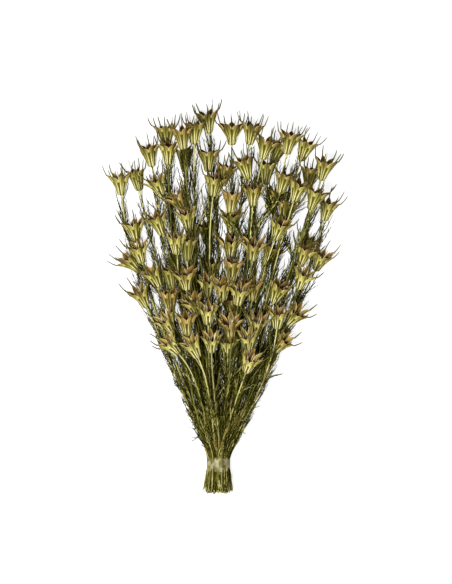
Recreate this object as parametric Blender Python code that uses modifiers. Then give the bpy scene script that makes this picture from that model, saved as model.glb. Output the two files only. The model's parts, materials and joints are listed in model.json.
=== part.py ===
"""A tied bunch of dried nigella seed pods, lying flat, in Blender units (metres).

The bunch lies along +Y with its cut ends at -Y, and +Z is up. It is planned with the middle of the tie at
x = 0, y = 0 and the table at z = 0, and is moved at the end so that its box stands centred on the origin.
Each flowering stem is one grown piece: a stem, often with a side shoot, its thread leaves and its pods.
"""

import math
import random

import bmesh
import bpy
from mathutils import Matrix, Vector
from mathutils.bvhtree import BVHTree

MM = 0.001

# The tie and the packed stems inside it.
TIE_LENGTH = 22 * MM
TIE_THICKNESS = 1.0 * MM
TIE_SIDES = 20
TIE_GAP = 0.4 * MM
BUNDLE_RADIUS = 16.2 * MM
STEM_PITCH = 4.0 * MM
TIE_MIDDLE = BUNDLE_RADIUS + TIE_GAP + TIE_THICKNESS

# Stems and side shoots, from the cut end to the neck of the pod.
STEM_RADIUS = 1.7 * MM
NECK_RADIUS = 1.15 * MM
SHOOT_RADIUS = 1.25 * MM
ROOT_DEPTH = 5 * MM
STEM_STEPS = 4
SHOOT_STEPS = 3
CUT_END = -43 * MM
CUT_SPREAD = 3 * MM
TAIL_SPLAY = 1.12
STRAIGHT_PAST_TIE = 2 * MM

# How a stem leaves the tie: along the way to its pod, or as its place in the tie leads it.
FAN_SLOPE = 1.5
SPREAD_ACROSS = 0.04 / MM
SPREAD_UP = 0.027 / MM
WAYS_OUT = ((0.3, 0.5), (0.7, 0.8), (0.7, 0.3), (0.0, 0.0), (0.3, 1.0), (1.0, 1.0), (0.5, 1.4))

# How a shoot leaves its stem: how far behind its own pod, and how long the stem is on both sides of it.
FORKS = (70 * MM, 95 * MM, 125 * MM, 160 * MM)
NEAREST_STEMS = 4
WIDEST_FORK = 1.5
STEM_BELOW_FORK = 20 * MM
STEM_ABOVE_FORK = 25 * MM
ALONG_STEM = 0.5
TOWARDS_POD = 0.7

# A pod: joined follicles that open at the mouth, each with a long beak.
FOLLICLES = 7
POD_HEIGHT = 28 * MM
POD_FOOT = 4.6 * MM
POD_WAIST = 8.6 * MM
WAIST_HEIGHT = 14 * MM
VALLEY = 0.8
NOTCH_HEIGHT = 22 * MM
NOTCH_RADIUS = 0.68
THROAT_HEIGHT = 12 * MM
SHOULDER_RISE = 4 * MM
SHOULDER_FLARE = 1.2 * MM
BEAK_WIDTH = 0.85 * MM
BEAK_BACK = 0.6
BEAK_RISE = 17 * MM
BEAK_FLARE = 3.5 * MM

# Thread leaves.
THREAD_SPACING = 46 * MM
THREAD_RADIUS = 0.85 * MM
THREAD_LENGTHS = (24 * MM, 42 * MM)
THREAD_TILTS = (16, 34)
THREAD_TRIES = 14
THREAD_ROOM = 0.4 * MM
LOWEST_THREAD = 24 * MM
GOLDEN_ANGLE = 137.5

# How the stems lie on each other: long ones flat at the bottom, short ones raised on top.
FLAT_PITCH = 3
RAISED_PITCH = 34
PITCH_DRAW = (-4, 6)
LONG_REACH = 520 * MM
SHORT_REACH = 120 * MM
REAR_BONUS = 24 * MM
REAR_PITCH = 0.5
LIFT_STEP = 2 * MM
HIGHEST = 190 * MM
CLEARANCE = 0.45 * MM
ROOT_LEFT_OUT = 0.3
SLEEVE_SIDES = 8
WELD = 0.0001 * MM

# The pods, as they stand in the bunch seen from above, in millimetres from the middle of the tie:
# (across, along, lean to the right in degrees, width of the mouth). A pod in MAIN_PODS has its own stem
# in the tie. The others are on shoots of the nearest stem with room for them, the rear ones low down.
MAIN_PODS = (
    (-146, 403, -5, 33), (-119, 410, -12, 25), (-100, 446, -10, 30), (-78, 475, -3, 32),
    (-75, 448, 0, 29), (-51, 442, 0, 29), (-52, 469, -5, 30), (-36, 478, 2, 29),
    (-14, 496, -8, 34), (-15, 437, 0, 33), (-8, 400, 8, 33), (-84, 400, -24, 32),
    (-51, 377, -30, 30), (-44, 349, -8, 31), (20, 478, 0, 39), (46, 478, 10, 33),
    (66, 455, 15, 36), (102, 463, 12, 33), (124, 455, 20, 30), (153, 424, 15, 32),
    (45, 425, -15, 30), (51, 385, 3, 36), (74, 382, 28, 33), (112, 392, 18, 33),
    (137, 379, 20, 34), (159, 365, 15, 29), (-123, 332, -10, 34), (-84, 343, -20, 32),
    (-31, 222, -22, 34), (-68, 197, -30, 32), (-15, 209, 0, 30), (18, 191, -3, 37),
    (56, 194, 8, 36), (44, 172, 0, 30), (-59, 166, -42, 30), (-30, 161, -25, 30),
    (-10, 169, 0, 31), (14, 161, 0, 31), (41, 139, 20, 30), (87, 203, 5, 30),
    (-108, 235, -25, 33), (19, 346, 0, 33), (84, 335, 20, 33), (120, 262, 20, 31),
    (146, 290, 25, 31),
)
SIDE_PODS = (
    (-61, 313, -3, 29), (-114, 301, -15, 30), (-119, 289, -45, 33), (-16, 329, -5, 30),
    (17, 307, 0, 38), (50, 304, 5, 37), (126, 313, 25, 31), (-89, 265, -25, 31),
    (-47, 260, -5, 37), (-16, 250, 0, 31), (6, 245, 0, 31), (50, 244, 0, 34),
    (82, 241, 22, 34), (29, 238, 8, 34), (104, 209, 40, 31), (122, 296, 20, 29),
    (84, 169, 42, 26),
)
REAR_PODS = (
    (5, 416, 15, 30), (81, 452, 25, 26), (70, 419, 5, 29), (92, 404, 15, 31),
    (134, 412, 10, 29), (-46, 304, 0, 28), (18, 374, 5, 30), (98, 359, 10, 31),
    (69, 295, 25, 30), (-69, 262, -10, 28), (-12, 272, 5, 29), (20, 272, 5, 30),
    (-71, 227, -5, 30), (-46, 193, -3, 31), (20, 217, -5, 29),
)


def clear_scene():
    for obj in list(bpy.data.objects):
        bpy.data.objects.remove(obj)


def new_collection(name):
    made = bpy.data.collections.new(name)
    bpy.context.scene.collection.children.link(made)
    return made


def material(name, colour, roughness):
    made = bpy.data.materials.new(name)
    made.use_nodes = True
    shader = made.node_tree.nodes["Principled BSDF"]
    shader.inputs["Base Color"].default_value = (*colour, 1)
    shader.inputs["Roughness"].default_value = roughness
    shader.inputs["Metallic"].default_value = 0
    return made


def aim(axis, turn=0.0):
    """A rotation that takes +Z to the axis, after a turn about it."""
    return axis.to_track_quat("Z", "Y").to_matrix().to_4x4() @ Matrix.Rotation(turn, 4, "Z")


def share(value, low, high):
    return min(1.0, max(0.0, (value - low) / (high - low)))


def around(angle, radius, height):
    return Vector((radius * math.cos(angle), radius * math.sin(angle), height))


def pod_points(mouth, grow):
    """The points of a pod: its foot, its waist of ridges and valleys, its lip, its throat and its beaks."""
    rim = mouth / 2
    step = math.pi / FOLLICLES
    foot = [around(2 * i * step, POD_FOOT + grow, -grow) for i in range(FOLLICLES)]
    waist, lip = [], []
    for i in range(FOLLICLES):
        ridge, valley = 2 * i * step, (2 * i + 1) * step
        waist.append(around(ridge, POD_WAIST + grow, WAIST_HEIGHT))
        waist.append(around(valley, POD_WAIST * VALLEY + grow, WAIST_HEIGHT))
        lip.append(around(ridge, rim + grow, POD_HEIGHT + grow))
        lip.append(around(valley, rim * NOTCH_RADIUS + grow, NOTCH_HEIGHT + grow))
    throat = [Vector((0, 0, THROAT_HEIGHT + grow))]
    beaks = []
    width = BEAK_WIDTH + grow
    for i in range(FOLLICLES):
        out = around(2 * i * step, 1, 0)
        side = around(2 * i * step + math.pi / 2, 1, 0)
        shoulder = out * (rim + SHOULDER_FLARE) + Vector((0, 0, POD_HEIGHT + SHOULDER_RISE))
        back = shoulder - out * width * BEAK_BACK
        beaks.append(shoulder + out * width)
        beaks.append(back - side * width)
        beaks.append(back + side * width)
        beaks.append(shoulder + out * BEAK_FLARE + Vector((0, 0, BEAK_RISE + grow)))
    return foot + waist + lip + throat + beaks


def pod_faces():
    """The faces between the points of a pod, follicle by follicle."""
    waist = FOLLICLES
    lip = waist + 2 * FOLLICLES
    throat = lip + 2 * FOLLICLES
    beaks = throat + 1
    faces = [tuple(reversed(range(FOLLICLES)))]
    for i in range(FOLLICLES):
        foot, next_foot = i, (i + 1) % FOLLICLES
        ridge, after = 2 * i, 2 * i + 1
        before, next_ridge = (ridge - 1) % (2 * FOLLICLES), (ridge + 2) % (2 * FOLLICLES)
        faces.append((foot, next_foot, waist + after))
        faces.append((foot, waist + after, waist + ridge))
        faces.append((next_foot, waist + next_ridge, waist + after))
        faces.append((waist + before, waist + ridge, lip + ridge, lip + before))
        faces.append((waist + ridge, waist + after, lip + after, lip + ridge))
        outer, left, right, tip = (beaks + 4 * i + k for k in range(4))
        faces.append((lip + before, lip + ridge, outer, left))
        faces.append((lip + ridge, lip + after, right, outer))
        faces.append((lip + after, lip + before, left, right))
        faces.append((left, outer, tip))
        faces.append((outer, right, tip))
        faces.append((right, left, tip))
        faces.append((lip + before, lip + after, throat))
    return faces


def hermite(start, end, leave, arrive, t):
    """The point at share t of the curve that leaves start along one vector and arrives along another."""
    t2, t3 = t * t, t * t * t
    return (
        start * (2 * t3 - 3 * t2 + 1)
        + leave * (t3 - 2 * t2 + t)
        + end * (3 * t2 - 2 * t3)
        + arrive * (t3 - t2)
    )


def curve(start, end, leave, arrive, steps):
    return [hermite(start, end, leave, arrive, i / steps) for i in range(steps + 1)]


def sleeve(route, radii, grow):
    """Points and faces of a plain tube along a route, to try for room with."""
    points, faces = [], []
    for i, place in enumerate(route):
        ahead = route[min(i + 1, len(route) - 1)] - route[max(i - 1, 0)]
        frame = aim(ahead.normalized())
        points += [
            place + frame @ around(2 * math.pi * k / SLEEVE_SIDES, radii[i] + grow, 0)
            for k in range(SLEEVE_SIDES)
        ]
    for low in range(0, len(points) - SLEEVE_SIDES, SLEEVE_SIDES):
        high = low + SLEEVE_SIDES
        for k in range(SLEEVE_SIDES):
            after = (k + 1) % SLEEVE_SIDES
            faces.append((low + k, low + after, high + after, high + k))
    return points, faces


def tree_of(shapes):
    """A search tree over the faces of some shapes, or None with no shape."""
    points, faces = [], []
    for some_points, some_faces in shapes:
        start = len(points)
        points += some_points
        faces += [tuple(start + i for i in face) for face in some_faces]
    return BVHTree.FromPolygons(points, faces) if faces else None


def crosses(tree, other):
    return tree is not None and other is not None and bool(tree.overlap(other))


class Limb:
    """One pod on its stem or shoot: its place, its route and what grows from it."""

    def __init__(self, place, chance):
        across, along, lean, mouth = place
        self.x, self.y, self.mouth = across * MM, along * MM, mouth * MM
        self.order = self.y
        self.lean = math.radians(lean)
        raised = share(LONG_REACH - self.y, 0, LONG_REACH - SHORT_REACH)
        self.pitch = FLAT_PITCH + (RAISED_PITCH - FLAT_PITCH) * raised + chance.uniform(*PITCH_DRAW)
        self.turn = chance.uniform(0, 2 * math.pi)
        self.cut = CUT_END + chance.uniform(-CUT_SPREAD, CUT_SPREAD)
        self.slot = None
        self.parent = None
        self.route = []
        self.radii = []
        self.shoots = []
        self.threads = []

    def pod(self, grow=0.0):
        place = Matrix.Translation(self.base) @ aim(self.axis, self.turn)
        return [place @ p for p in pod_points(self.mouth, grow)], pod_faces()

    def set_height(self, lift):
        """Stands the pod with its lowest point this far above the table."""
        pitch = math.radians(self.pitch)
        flat = math.cos(pitch)
        self.axis = Vector((math.sin(self.lean) * flat, math.cos(self.lean) * flat, math.sin(pitch)))
        self.base = Vector((self.x, self.y, 0))
        self.base.z = lift - min(p.z for p in self.pod()[0])

    def from_tie(self, fan, rise):
        """The route of a main stem: straight below and through the tie, then out to the pod.

        The fan and the rise say how far it leaves as its place in the tie leads it, and not at its pod.
        """
        slot = self.slot
        away = self.base - slot
        across = away.x * FAN_SLOPE * (1 - fan) + slot.x * SPREAD_ACROSS * away.y * fan
        up = away.z * FAN_SLOPE * (1 - rise) + (slot.z - STEM_RADIUS) * SPREAD_UP * away.y * rise
        leave = Vector((across, away.y, up))
        start = slot + Vector((0, TIE_LENGTH / 2 + STRAIGHT_PAST_TIE, 0))
        arrive = self.axis * (self.base - start).length
        self.route = [Vector((slot.x * TAIL_SPLAY, self.cut, slot.z))]
        self.route += curve(start, self.base, leave, arrive, STEM_STEPS)
        taper = STEM_RADIUS - NECK_RADIUS
        self.radii = [STEM_RADIUS - taper * share(p.y, self.cut, self.base.y) for p in self.route]

    def from_stem(self, parent, back):
        """The route of a shoot that leaves its parent this far behind the pod."""
        place, along = parent.at(self.y - back)
        away = self.base - place
        leave = along * away.length * ALONG_STEM + away * TOWARDS_POD
        self.parent = parent
        self.route = curve(place, self.base, leave, self.axis * away.length, SHOOT_STEPS)
        self.radii = [SHOOT_RADIUS] + [NECK_RADIUS] * SHOOT_STEPS

    def at(self, y):
        """The point of the route at this y, and the route's direction there."""
        for before, after in zip(self.route, self.route[1:]):
            if y <= after.y:
                break
        part = (y - before.y) / (after.y - before.y)
        return before.lerp(after, part), (after - before).normalized()

    def has_fork(self, y):
        """Whether a shoot can leave this stem at this y, far enough from the tie and from the pod."""
        free = self.slot is not None and self.route and not self.shoots
        return bool(free) and self.route[1].y + STEM_BELOW_FORK < y < self.y - STEM_ABOVE_FORK

    def shapes(self, grow=0.0):
        """The shapes that fill the space of the stem and the pod."""
        return [sleeve(self.route, self.radii, grow), self.pod(grow)]

    def trial(self):
        """The same with room to spare. A shoot leaves out its root, which is inside its stem."""
        route = list(self.route)
        if self.parent:
            route[0] = route[0].lerp(route[1], ROOT_LEFT_OUT)
        return [sleeve(route, self.radii, CLEARANCE), self.pod(CLEARANCE)]

    def above_table(self):
        return min(p.z - r for p, r in zip(self.route, self.radii)) > CLEARANCE


def slots_in_tie(count):
    """The places of the stems in the tie: the middle of a close packing, row on row from the table up."""
    row_height = STEM_PITCH * math.sqrt(3) / 2
    most = math.ceil(BUNDLE_RADIUS / row_height)
    places = []
    for row in range(-most, most + 1):
        for i in range(-most, most + 1):
            across, up = (i + row % 2 / 2) * STEM_PITCH, row * row_height
            places.append((math.hypot(across, up), row, Vector((across, 0, TIE_MIDDLE + up))))
    places.sort(key=lambda place: (round(place[0] / WELD), place[1], place[2].x))
    widest = places[count - 1][0] + STEM_RADIUS
    assert widest <= BUNDLE_RADIUS, f"the stems fill a radius of {widest}"
    rows = {}
    for _, row, slot in places[:count]:
        rows.setdefault(row, []).append(slot)
    return [sorted(rows[row], key=lambda slot: slot.x) for row in sorted(rows)]


def plan_limbs():
    """Every main stem, and every limb in the order they are laid down, the longest first."""
    chance = random.Random(10)
    mains = [Limb(place, chance) for place in MAIN_PODS]
    sides = [Limb(place, chance) for place in SIDE_PODS]
    rears = [Limb(place, chance) for place in REAR_PODS]
    for limb in rears:
        limb.order += REAR_BONUS
        limb.pitch *= REAR_PITCH
    mains.sort(key=lambda limb: -limb.order)
    first = 0
    for row in slots_in_tie(len(mains)):
        chosen = sorted(mains[first : first + len(row)], key=lambda limb: limb.x / limb.y)
        first += len(row)
        for limb, slot in zip(chosen, row):
            limb.slot = slot
    return mains, sorted(mains + sides + rears, key=lambda limb: -limb.order)


def forks(limb, mains):
    """The stems that a shoot can grow from, with how far behind its pod, the nearest first."""
    for back in FORKS:
        options = []
        for main in mains:
            if main.has_fork(limb.y - back):
                place, _ = main.at(limb.y - back)
                options.append(((place - limb.base).length, main))
        options.sort(key=lambda option: option[0])
        for distance, main in options[:NEAREST_STEMS]:
            if distance < back * WIDEST_FORK:
                yield main, back


def settles(limb, lift, mains, tree):
    """Whether the limb can lie this high, clear of the table and of the tree of what lies there."""
    limb.set_height(lift)
    way_to_grow = limb.from_tie if limb.slot else limb.from_stem
    for way in WAYS_OUT if limb.slot else forks(limb, mains):
        way_to_grow(*way)
        if limb.above_table() and not crosses(tree_of(limb.trial()), tree):
            return True
    return False


def lay_out(mains, limbs):
    """Lays the limbs on each other, each as low as it lies clear of those before it."""
    placed = []
    for limb in limbs:
        tree = tree_of(placed)
        lift = 0.0
        while not settles(limb, lift, mains, tree):
            lift += LIFT_STEP
            assert lift < HIGHEST, f"no room for the pod at {limb.x}, {limb.y}"
        placed += limb.shapes()
        if limb.parent:
            limb.parent.shoots.append(limb)


def thread_places(limb, chance):
    """Where the thread leaves of a limb grow: the place and the direction of the stem there."""
    y = max(limb.route[0].y, LOWEST_THREAD) + THREAD_SPACING * chance.uniform(0.5, 1)
    while y < limb.y - THREAD_SPACING / 4:
        yield limb.at(y)
        y += THREAD_SPACING * chance.uniform(0.8, 1.2)


def grow_thread(limb, place, along, turn, trees, chance):
    """Adds one thread leaf, turned until it is clear of the trees, and returns its shape if it is."""
    for attempt in range(THREAD_TRIES):
        spin = math.radians(turn + attempt * GOLDEN_ANGLE)
        tilt = math.radians(chance.uniform(*THREAD_TILTS))
        length = chance.uniform(*THREAD_LENGTHS)
        axis = aim(along, spin) @ Vector((math.sin(tilt), 0, math.cos(tilt)))
        ends = [place, place + axis * length]
        trial = tree_of([sleeve(ends, [THREAD_RADIUS, 0], THREAD_ROOM)])
        low = min(end.z for end in ends) < THREAD_RADIUS + CLEARANCE
        if not low and not any(crosses(trial, tree) for tree in trees):
            limb.threads.append((place, axis, length))
            return [sleeve(ends, [THREAD_RADIUS, 0], 0)]
    return []


def grow_threads(plants):
    """Gives every plant its thread leaves, each clear of the other plants and of their leaves."""
    chance = random.Random(11)
    bodies = {plant: [s for limb in [plant] + plant.shoots for s in limb.shapes()] for plant in plants}
    grown = {plant: [] for plant in plants}

    def tree_of_others(shapes, plant):
        return tree_of([s for other in plants if other is not plant for s in shapes[other]])

    for plant in plants:
        trees = [tree_of_others(bodies, plant), tree_of_others(grown, plant)]
        for limb in [plant] + plant.shoots:
            turn = chance.uniform(0, 360)
            for place, along in thread_places(limb, chance):
                turn += GOLDEN_ANGLE
                grown[plant] += grow_thread(limb, place, along, turn, trees, chance)


def linked(name, data, collection):
    made = bpy.data.objects.new(name, data)
    collection.objects.link(made)
    return made


def tube(name, route, radii, collection):
    """A four-sided tube along a route, as a mesh with its caps welded."""
    path = bpy.data.curves.new(name, "CURVE")
    path.dimensions = "3D"
    path.bevel_depth = 1
    path.bevel_resolution = 0
    path.use_fill_caps = True
    spline = path.splines.new("POLY")
    spline.points.add(len(route) - 1)
    for point, place, radius in zip(spline.points, route, radii):
        point.co = (*place, 1)
        point.radius = radius
    guide = linked(name, path, collection)
    bpy.context.view_layer.update()
    depsgraph = bpy.context.evaluated_depsgraph_get()
    mesh = bpy.data.meshes.new_from_object(guide.evaluated_get(depsgraph))
    welder = bmesh.new()
    welder.from_mesh(mesh)
    bmesh.ops.remove_doubles(welder, verts=welder.verts, dist=WELD)
    bmesh.ops.recalc_face_normals(welder, faces=welder.faces)
    welder.to_mesh(mesh)
    welder.free()
    made = linked(name, mesh, collection)
    made.matrix_world = guide.matrix_world
    bpy.data.objects.remove(guide)
    return made


def stem_object(limb, collection):
    """The stem or shoot, run on into the solid foot of its pod."""
    route = limb.route + [limb.base + limb.axis * ROOT_DEPTH]
    return tube("stem", route, limb.radii + [NECK_RADIUS], collection)


def pod_object(limb, collection):
    points, faces = limb.pod()
    mesh = bpy.data.meshes.new("pod")
    mesh.from_pydata(points, [], faces)
    return linked("pod", mesh, collection)


def thread_object(thread, collection):
    """One thread leaf, a long three-sided point with its root in the stem."""
    root, axis, length = thread
    mesh = bpy.data.meshes.new("thread")
    maker = bmesh.new()
    bmesh.ops.create_cone(
        maker, cap_ends=True, segments=3, radius1=THREAD_RADIUS, radius2=0, depth=length
    )
    bmesh.ops.remove_doubles(maker, verts=maker.verts, dist=WELD)
    place = Matrix.Translation(root) @ aim(axis) @ Matrix.Translation(Vector((0, 0, length / 2)))
    bmesh.ops.transform(maker, matrix=place, verts=maker.verts)
    maker.to_mesh(mesh)
    maker.free()
    return linked("thread", mesh, collection)


def fuse(name, pieces, collection):
    """Joins the pieces of one plant into a single body with one Boolean union, and removes them."""
    group = new_collection(name + "_pieces")
    body = pieces[0]
    for piece in pieces[1:]:
        collection.objects.unlink(piece)
        group.objects.link(piece)
    union = body.modifiers.new("union", "BOOLEAN")
    union.operation = "UNION"
    union.operand_type = "COLLECTION"
    union.collection = group
    union.solver = "EXACT"
    bpy.context.view_layer.update()
    depsgraph = bpy.context.evaluated_depsgraph_get()
    mesh = bpy.data.meshes.new_from_object(body.evaluated_get(depsgraph))
    for piece in pieces:
        bpy.data.objects.remove(piece)
    bpy.data.collections.remove(group)
    return linked(name, mesh, collection)


def build_plant(number, plant, colour, collection):
    pieces = []
    for limb in [plant] + plant.shoots:
        pieces.append(stem_object(limb, collection))
        pieces.append(pod_object(limb, collection))
        pieces += [thread_object(thread, collection) for thread in limb.threads]
    made = fuse(f"flowering_stem_{number:02d}", pieces, collection)
    made.data.materials.append(colour)
    return made


def build_tie(colour, collection):
    """The band of tape round the stems, a ring with a flat side down."""
    corner = TIE_MIDDLE / math.cos(math.pi / TIE_SIDES)
    bpy.ops.mesh.primitive_cylinder_add(
        vertices=TIE_SIDES, radius=corner, depth=TIE_LENGTH, end_fill_type="NOTHING"
    )
    tie = bpy.context.object
    tie.name = "tie"
    for holder in list(tie.users_collection):
        holder.objects.unlink(tie)
    collection.objects.link(tie)
    tie.rotation_euler = (math.pi / 2, math.pi / TIE_SIDES, 0)
    tie.location = (0, 0, TIE_MIDDLE)
    wall = tie.modifiers.new("wall", "SOLIDIFY")
    wall.thickness = TIE_THICKNESS
    wall.offset = -1
    tie.data.materials.append(colour)
    return tie


def centre(objects):
    """Moves the bunch so that its box stands centred on the origin."""
    bpy.context.view_layer.update()
    corners = [obj.matrix_world @ v.co for obj in objects for v in obj.data.vertices]
    low = [min(p[i] for p in corners) for i in range(3)]
    high = [max(p[i] for p in corners) for i in range(3)]
    shift = Vector((-(low[0] + high[0]) / 2, -(low[1] + high[1]) / 2, -low[2]))
    for obj in objects:
        obj.location += shift


def main():
    clear_scene()
    bunch = new_collection("nigella_seed_pod_bunch")
    dried = material("dried_plant", (0.36, 0.30, 0.14), 0.75)
    tape = material("tie_tape", (0.72, 0.66, 0.52), 0.35)
    mains, limbs = plan_limbs()
    lay_out(mains, limbs)
    plants = sorted(mains, key=lambda limb: limb.x)
    grow_threads(plants)
    made = [build_plant(number, plant, dried, bunch) for number, plant in enumerate(plants, start=1)]
    made.append(build_tie(tape, bunch))
    centre(made)


main()
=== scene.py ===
"""The visual model of a tied bunch of dried nigella seed pods, lying flat and seen from above.

The bunch is planned as its solids are: the middle of the tie at x = 0, y = 0, the table at z = 0, the
longest stems laid down first. The fine stems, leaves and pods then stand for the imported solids.
"""

import json
import math
import random

import bmesh
import bpy
import numpy as np
from mathutils import Matrix, Vector
from mathutils.bvhtree import BVHTree

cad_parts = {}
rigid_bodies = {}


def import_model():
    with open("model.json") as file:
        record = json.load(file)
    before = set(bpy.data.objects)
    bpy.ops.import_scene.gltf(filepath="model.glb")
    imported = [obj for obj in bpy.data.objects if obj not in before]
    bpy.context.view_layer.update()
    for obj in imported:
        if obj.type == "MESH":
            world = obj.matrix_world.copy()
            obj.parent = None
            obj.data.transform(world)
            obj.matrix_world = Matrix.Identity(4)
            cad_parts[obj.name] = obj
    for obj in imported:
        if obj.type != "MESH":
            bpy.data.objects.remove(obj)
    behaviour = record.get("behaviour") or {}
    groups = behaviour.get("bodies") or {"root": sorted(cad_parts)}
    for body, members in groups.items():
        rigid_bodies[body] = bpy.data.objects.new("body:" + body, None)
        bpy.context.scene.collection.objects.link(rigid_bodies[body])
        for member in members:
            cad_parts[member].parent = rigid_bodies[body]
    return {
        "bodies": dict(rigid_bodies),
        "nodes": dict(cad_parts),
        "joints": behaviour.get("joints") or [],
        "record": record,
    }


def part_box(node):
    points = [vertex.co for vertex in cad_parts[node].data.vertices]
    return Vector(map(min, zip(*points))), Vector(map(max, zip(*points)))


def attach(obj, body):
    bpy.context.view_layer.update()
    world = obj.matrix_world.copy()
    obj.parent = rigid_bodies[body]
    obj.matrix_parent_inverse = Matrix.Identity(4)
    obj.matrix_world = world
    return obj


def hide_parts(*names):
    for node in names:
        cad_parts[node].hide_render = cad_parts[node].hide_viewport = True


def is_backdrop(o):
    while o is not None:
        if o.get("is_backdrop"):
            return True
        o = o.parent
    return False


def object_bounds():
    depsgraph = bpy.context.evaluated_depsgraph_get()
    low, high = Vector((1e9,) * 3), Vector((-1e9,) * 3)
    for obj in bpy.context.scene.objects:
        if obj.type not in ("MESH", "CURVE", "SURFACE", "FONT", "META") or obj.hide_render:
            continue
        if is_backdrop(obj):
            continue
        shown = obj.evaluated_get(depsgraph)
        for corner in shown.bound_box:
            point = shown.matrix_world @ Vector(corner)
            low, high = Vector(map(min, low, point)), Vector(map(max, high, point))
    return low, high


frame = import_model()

CAD_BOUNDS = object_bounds()
MM = 0.001

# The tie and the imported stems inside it.
TIE_LENGTH = 22 * MM
TIE_THICKNESS = 1.0 * MM
TIE_SIDES = 20
TIE_GAP = 0.4 * MM
BUNDLE_RADIUS = 16.2 * MM
STEM_PITCH = 4.0 * MM
TIE_MIDDLE = BUNDLE_RADIUS + TIE_GAP + TIE_THICKNESS

# Stems and side shoots, from the cut end to the neck of the pod.
STEM_RADIUS = 1.7 * MM
NECK_RADIUS = 1.15 * MM
SHOOT_RADIUS = 1.25 * MM
ROOT_DEPTH = 5 * MM
STEM_STEPS = 4
SHOOT_STEPS = 3
CUT_END = -43 * MM
CUT_SPREAD = 3 * MM
TAIL_SPLAY = 1.12
STRAIGHT_PAST_TIE = 2 * MM

# How a stem leaves the tie: along the way to its pod, or as its place in the tie leads it.
FAN_SLOPE = 1.5
SPREAD_ACROSS = 0.04 / MM
SPREAD_UP = 0.027 / MM
WAYS_OUT = ((0.3, 0.5), (0.7, 0.8), (0.7, 0.3), (0.0, 0.0), (0.3, 1.0), (1.0, 1.0), (0.5, 1.4))

# How a shoot leaves its stem: how far behind its own pod, and how long the stem is on both sides of it.
FORKS = (70 * MM, 95 * MM, 125 * MM, 160 * MM)
NEAREST_STEMS = 4
WIDEST_FORK = 1.5
STEM_BELOW_FORK = 20 * MM
STEM_ABOVE_FORK = 25 * MM
ALONG_STEM = 0.5
TOWARDS_POD = 0.7

# A pod: joined follicles that open at the mouth, each with a long beak.
FOLLICLES = 7
POD_HEIGHT = 28 * MM
POD_FOOT = 4.6 * MM
POD_WAIST = 8.6 * MM
WAIST_HEIGHT = 14 * MM
VALLEY = 0.8
NOTCH_HEIGHT = 22 * MM
NOTCH_RADIUS = 0.68
THROAT_HEIGHT = 12 * MM
SHOULDER_RISE = 4 * MM
SHOULDER_FLARE = 1.2 * MM
BEAK_WIDTH = 0.85 * MM
BEAK_BACK = 0.6
BEAK_RISE = 17 * MM
BEAK_FLARE = 3.5 * MM

# Thread leaves.
THREAD_SPACING = 46 * MM
THREAD_RADIUS = 0.85 * MM
THREAD_LENGTHS = (24 * MM, 42 * MM)
THREAD_TILTS = (16, 34)
THREAD_TRIES = 14
THREAD_ROOM = 0.4 * MM
LOWEST_THREAD = 24 * MM
GOLDEN_ANGLE = 137.5

# How the stems lie on each other: long ones flat at the bottom, short ones raised on top.
FLAT_PITCH = 3
RAISED_PITCH = 34
PITCH_DRAW = (-4, 6)
LONG_REACH = 520 * MM
SHORT_REACH = 120 * MM
REAR_BONUS = 24 * MM
REAR_PITCH = 0.5
LIFT_STEP = 2 * MM
HIGHEST = 190 * MM
CLEARANCE = 0.45 * MM
ROOT_LEFT_OUT = 0.3
SLEEVE_SIDES = 8
WELD = 0.0001 * MM

# The pods, as they stand in the bunch seen from above, in millimetres from the middle of the tie:
# (across, along, lean to the right in degrees, width of the mouth). A pod in MAIN_PODS has its own stem
# in the tie. The others are on shoots of the nearest stem with room for them, the rear ones low down.
MAIN_PODS = (
    (-146, 403, -5, 33), (-119, 410, -12, 25), (-100, 446, -10, 30), (-78, 475, -3, 32),
    (-75, 448, 0, 29), (-51, 442, 0, 29), (-52, 469, -5, 30), (-36, 478, 2, 29),
    (-14, 496, -8, 34), (-15, 437, 0, 33), (-8, 400, 8, 33), (-84, 400, -24, 32),
    (-51, 377, -30, 30), (-44, 349, -8, 31), (20, 478, 0, 39), (46, 478, 10, 33),
    (66, 455, 15, 36), (102, 463, 12, 33), (124, 455, 20, 30), (153, 424, 15, 32),
    (45, 425, -15, 30), (51, 385, 3, 36), (74, 382, 28, 33), (112, 392, 18, 33),
    (137, 379, 20, 34), (159, 365, 15, 29), (-123, 332, -10, 34), (-84, 343, -20, 32),
    (-31, 222, -22, 34), (-68, 197, -30, 32), (-15, 209, 0, 30), (18, 191, -3, 37),
    (56, 194, 8, 36), (44, 172, 0, 30), (-59, 166, -42, 30), (-30, 161, -25, 30),
    (-10, 169, 0, 31), (14, 161, 0, 31), (41, 139, 20, 30), (87, 203, 5, 30),
    (-108, 235, -25, 33), (19, 346, 0, 33), (84, 335, 20, 33), (120, 262, 20, 31),
    (146, 290, 25, 31),
)
SIDE_PODS = (
    (-61, 313, -3, 29), (-114, 301, -15, 30), (-119, 289, -45, 33), (-16, 329, -5, 30),
    (17, 307, 0, 38), (50, 304, 5, 37), (126, 313, 25, 31), (-89, 265, -25, 31),
    (-47, 260, -5, 37), (-16, 250, 0, 31), (6, 245, 0, 31), (50, 244, 0, 34),
    (82, 241, 22, 34), (29, 238, 8, 34), (104, 209, 40, 31), (122, 296, 20, 29),
    (84, 169, 42, 26),
)
REAR_PODS = (
    (5, 416, 15, 30), (81, 452, 25, 26), (70, 419, 5, 29), (92, 404, 15, 31),
    (134, 412, 10, 29), (-46, 304, 0, 28), (18, 374, 5, 30), (98, 359, 10, 31),
    (69, 295, 25, 30), (-69, 262, -10, 28), (-12, 272, 5, 29), (20, 272, 5, 30),
    (-71, 227, -5, 30), (-46, 193, -3, 31), (20, 217, -5, 29),
)

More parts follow.
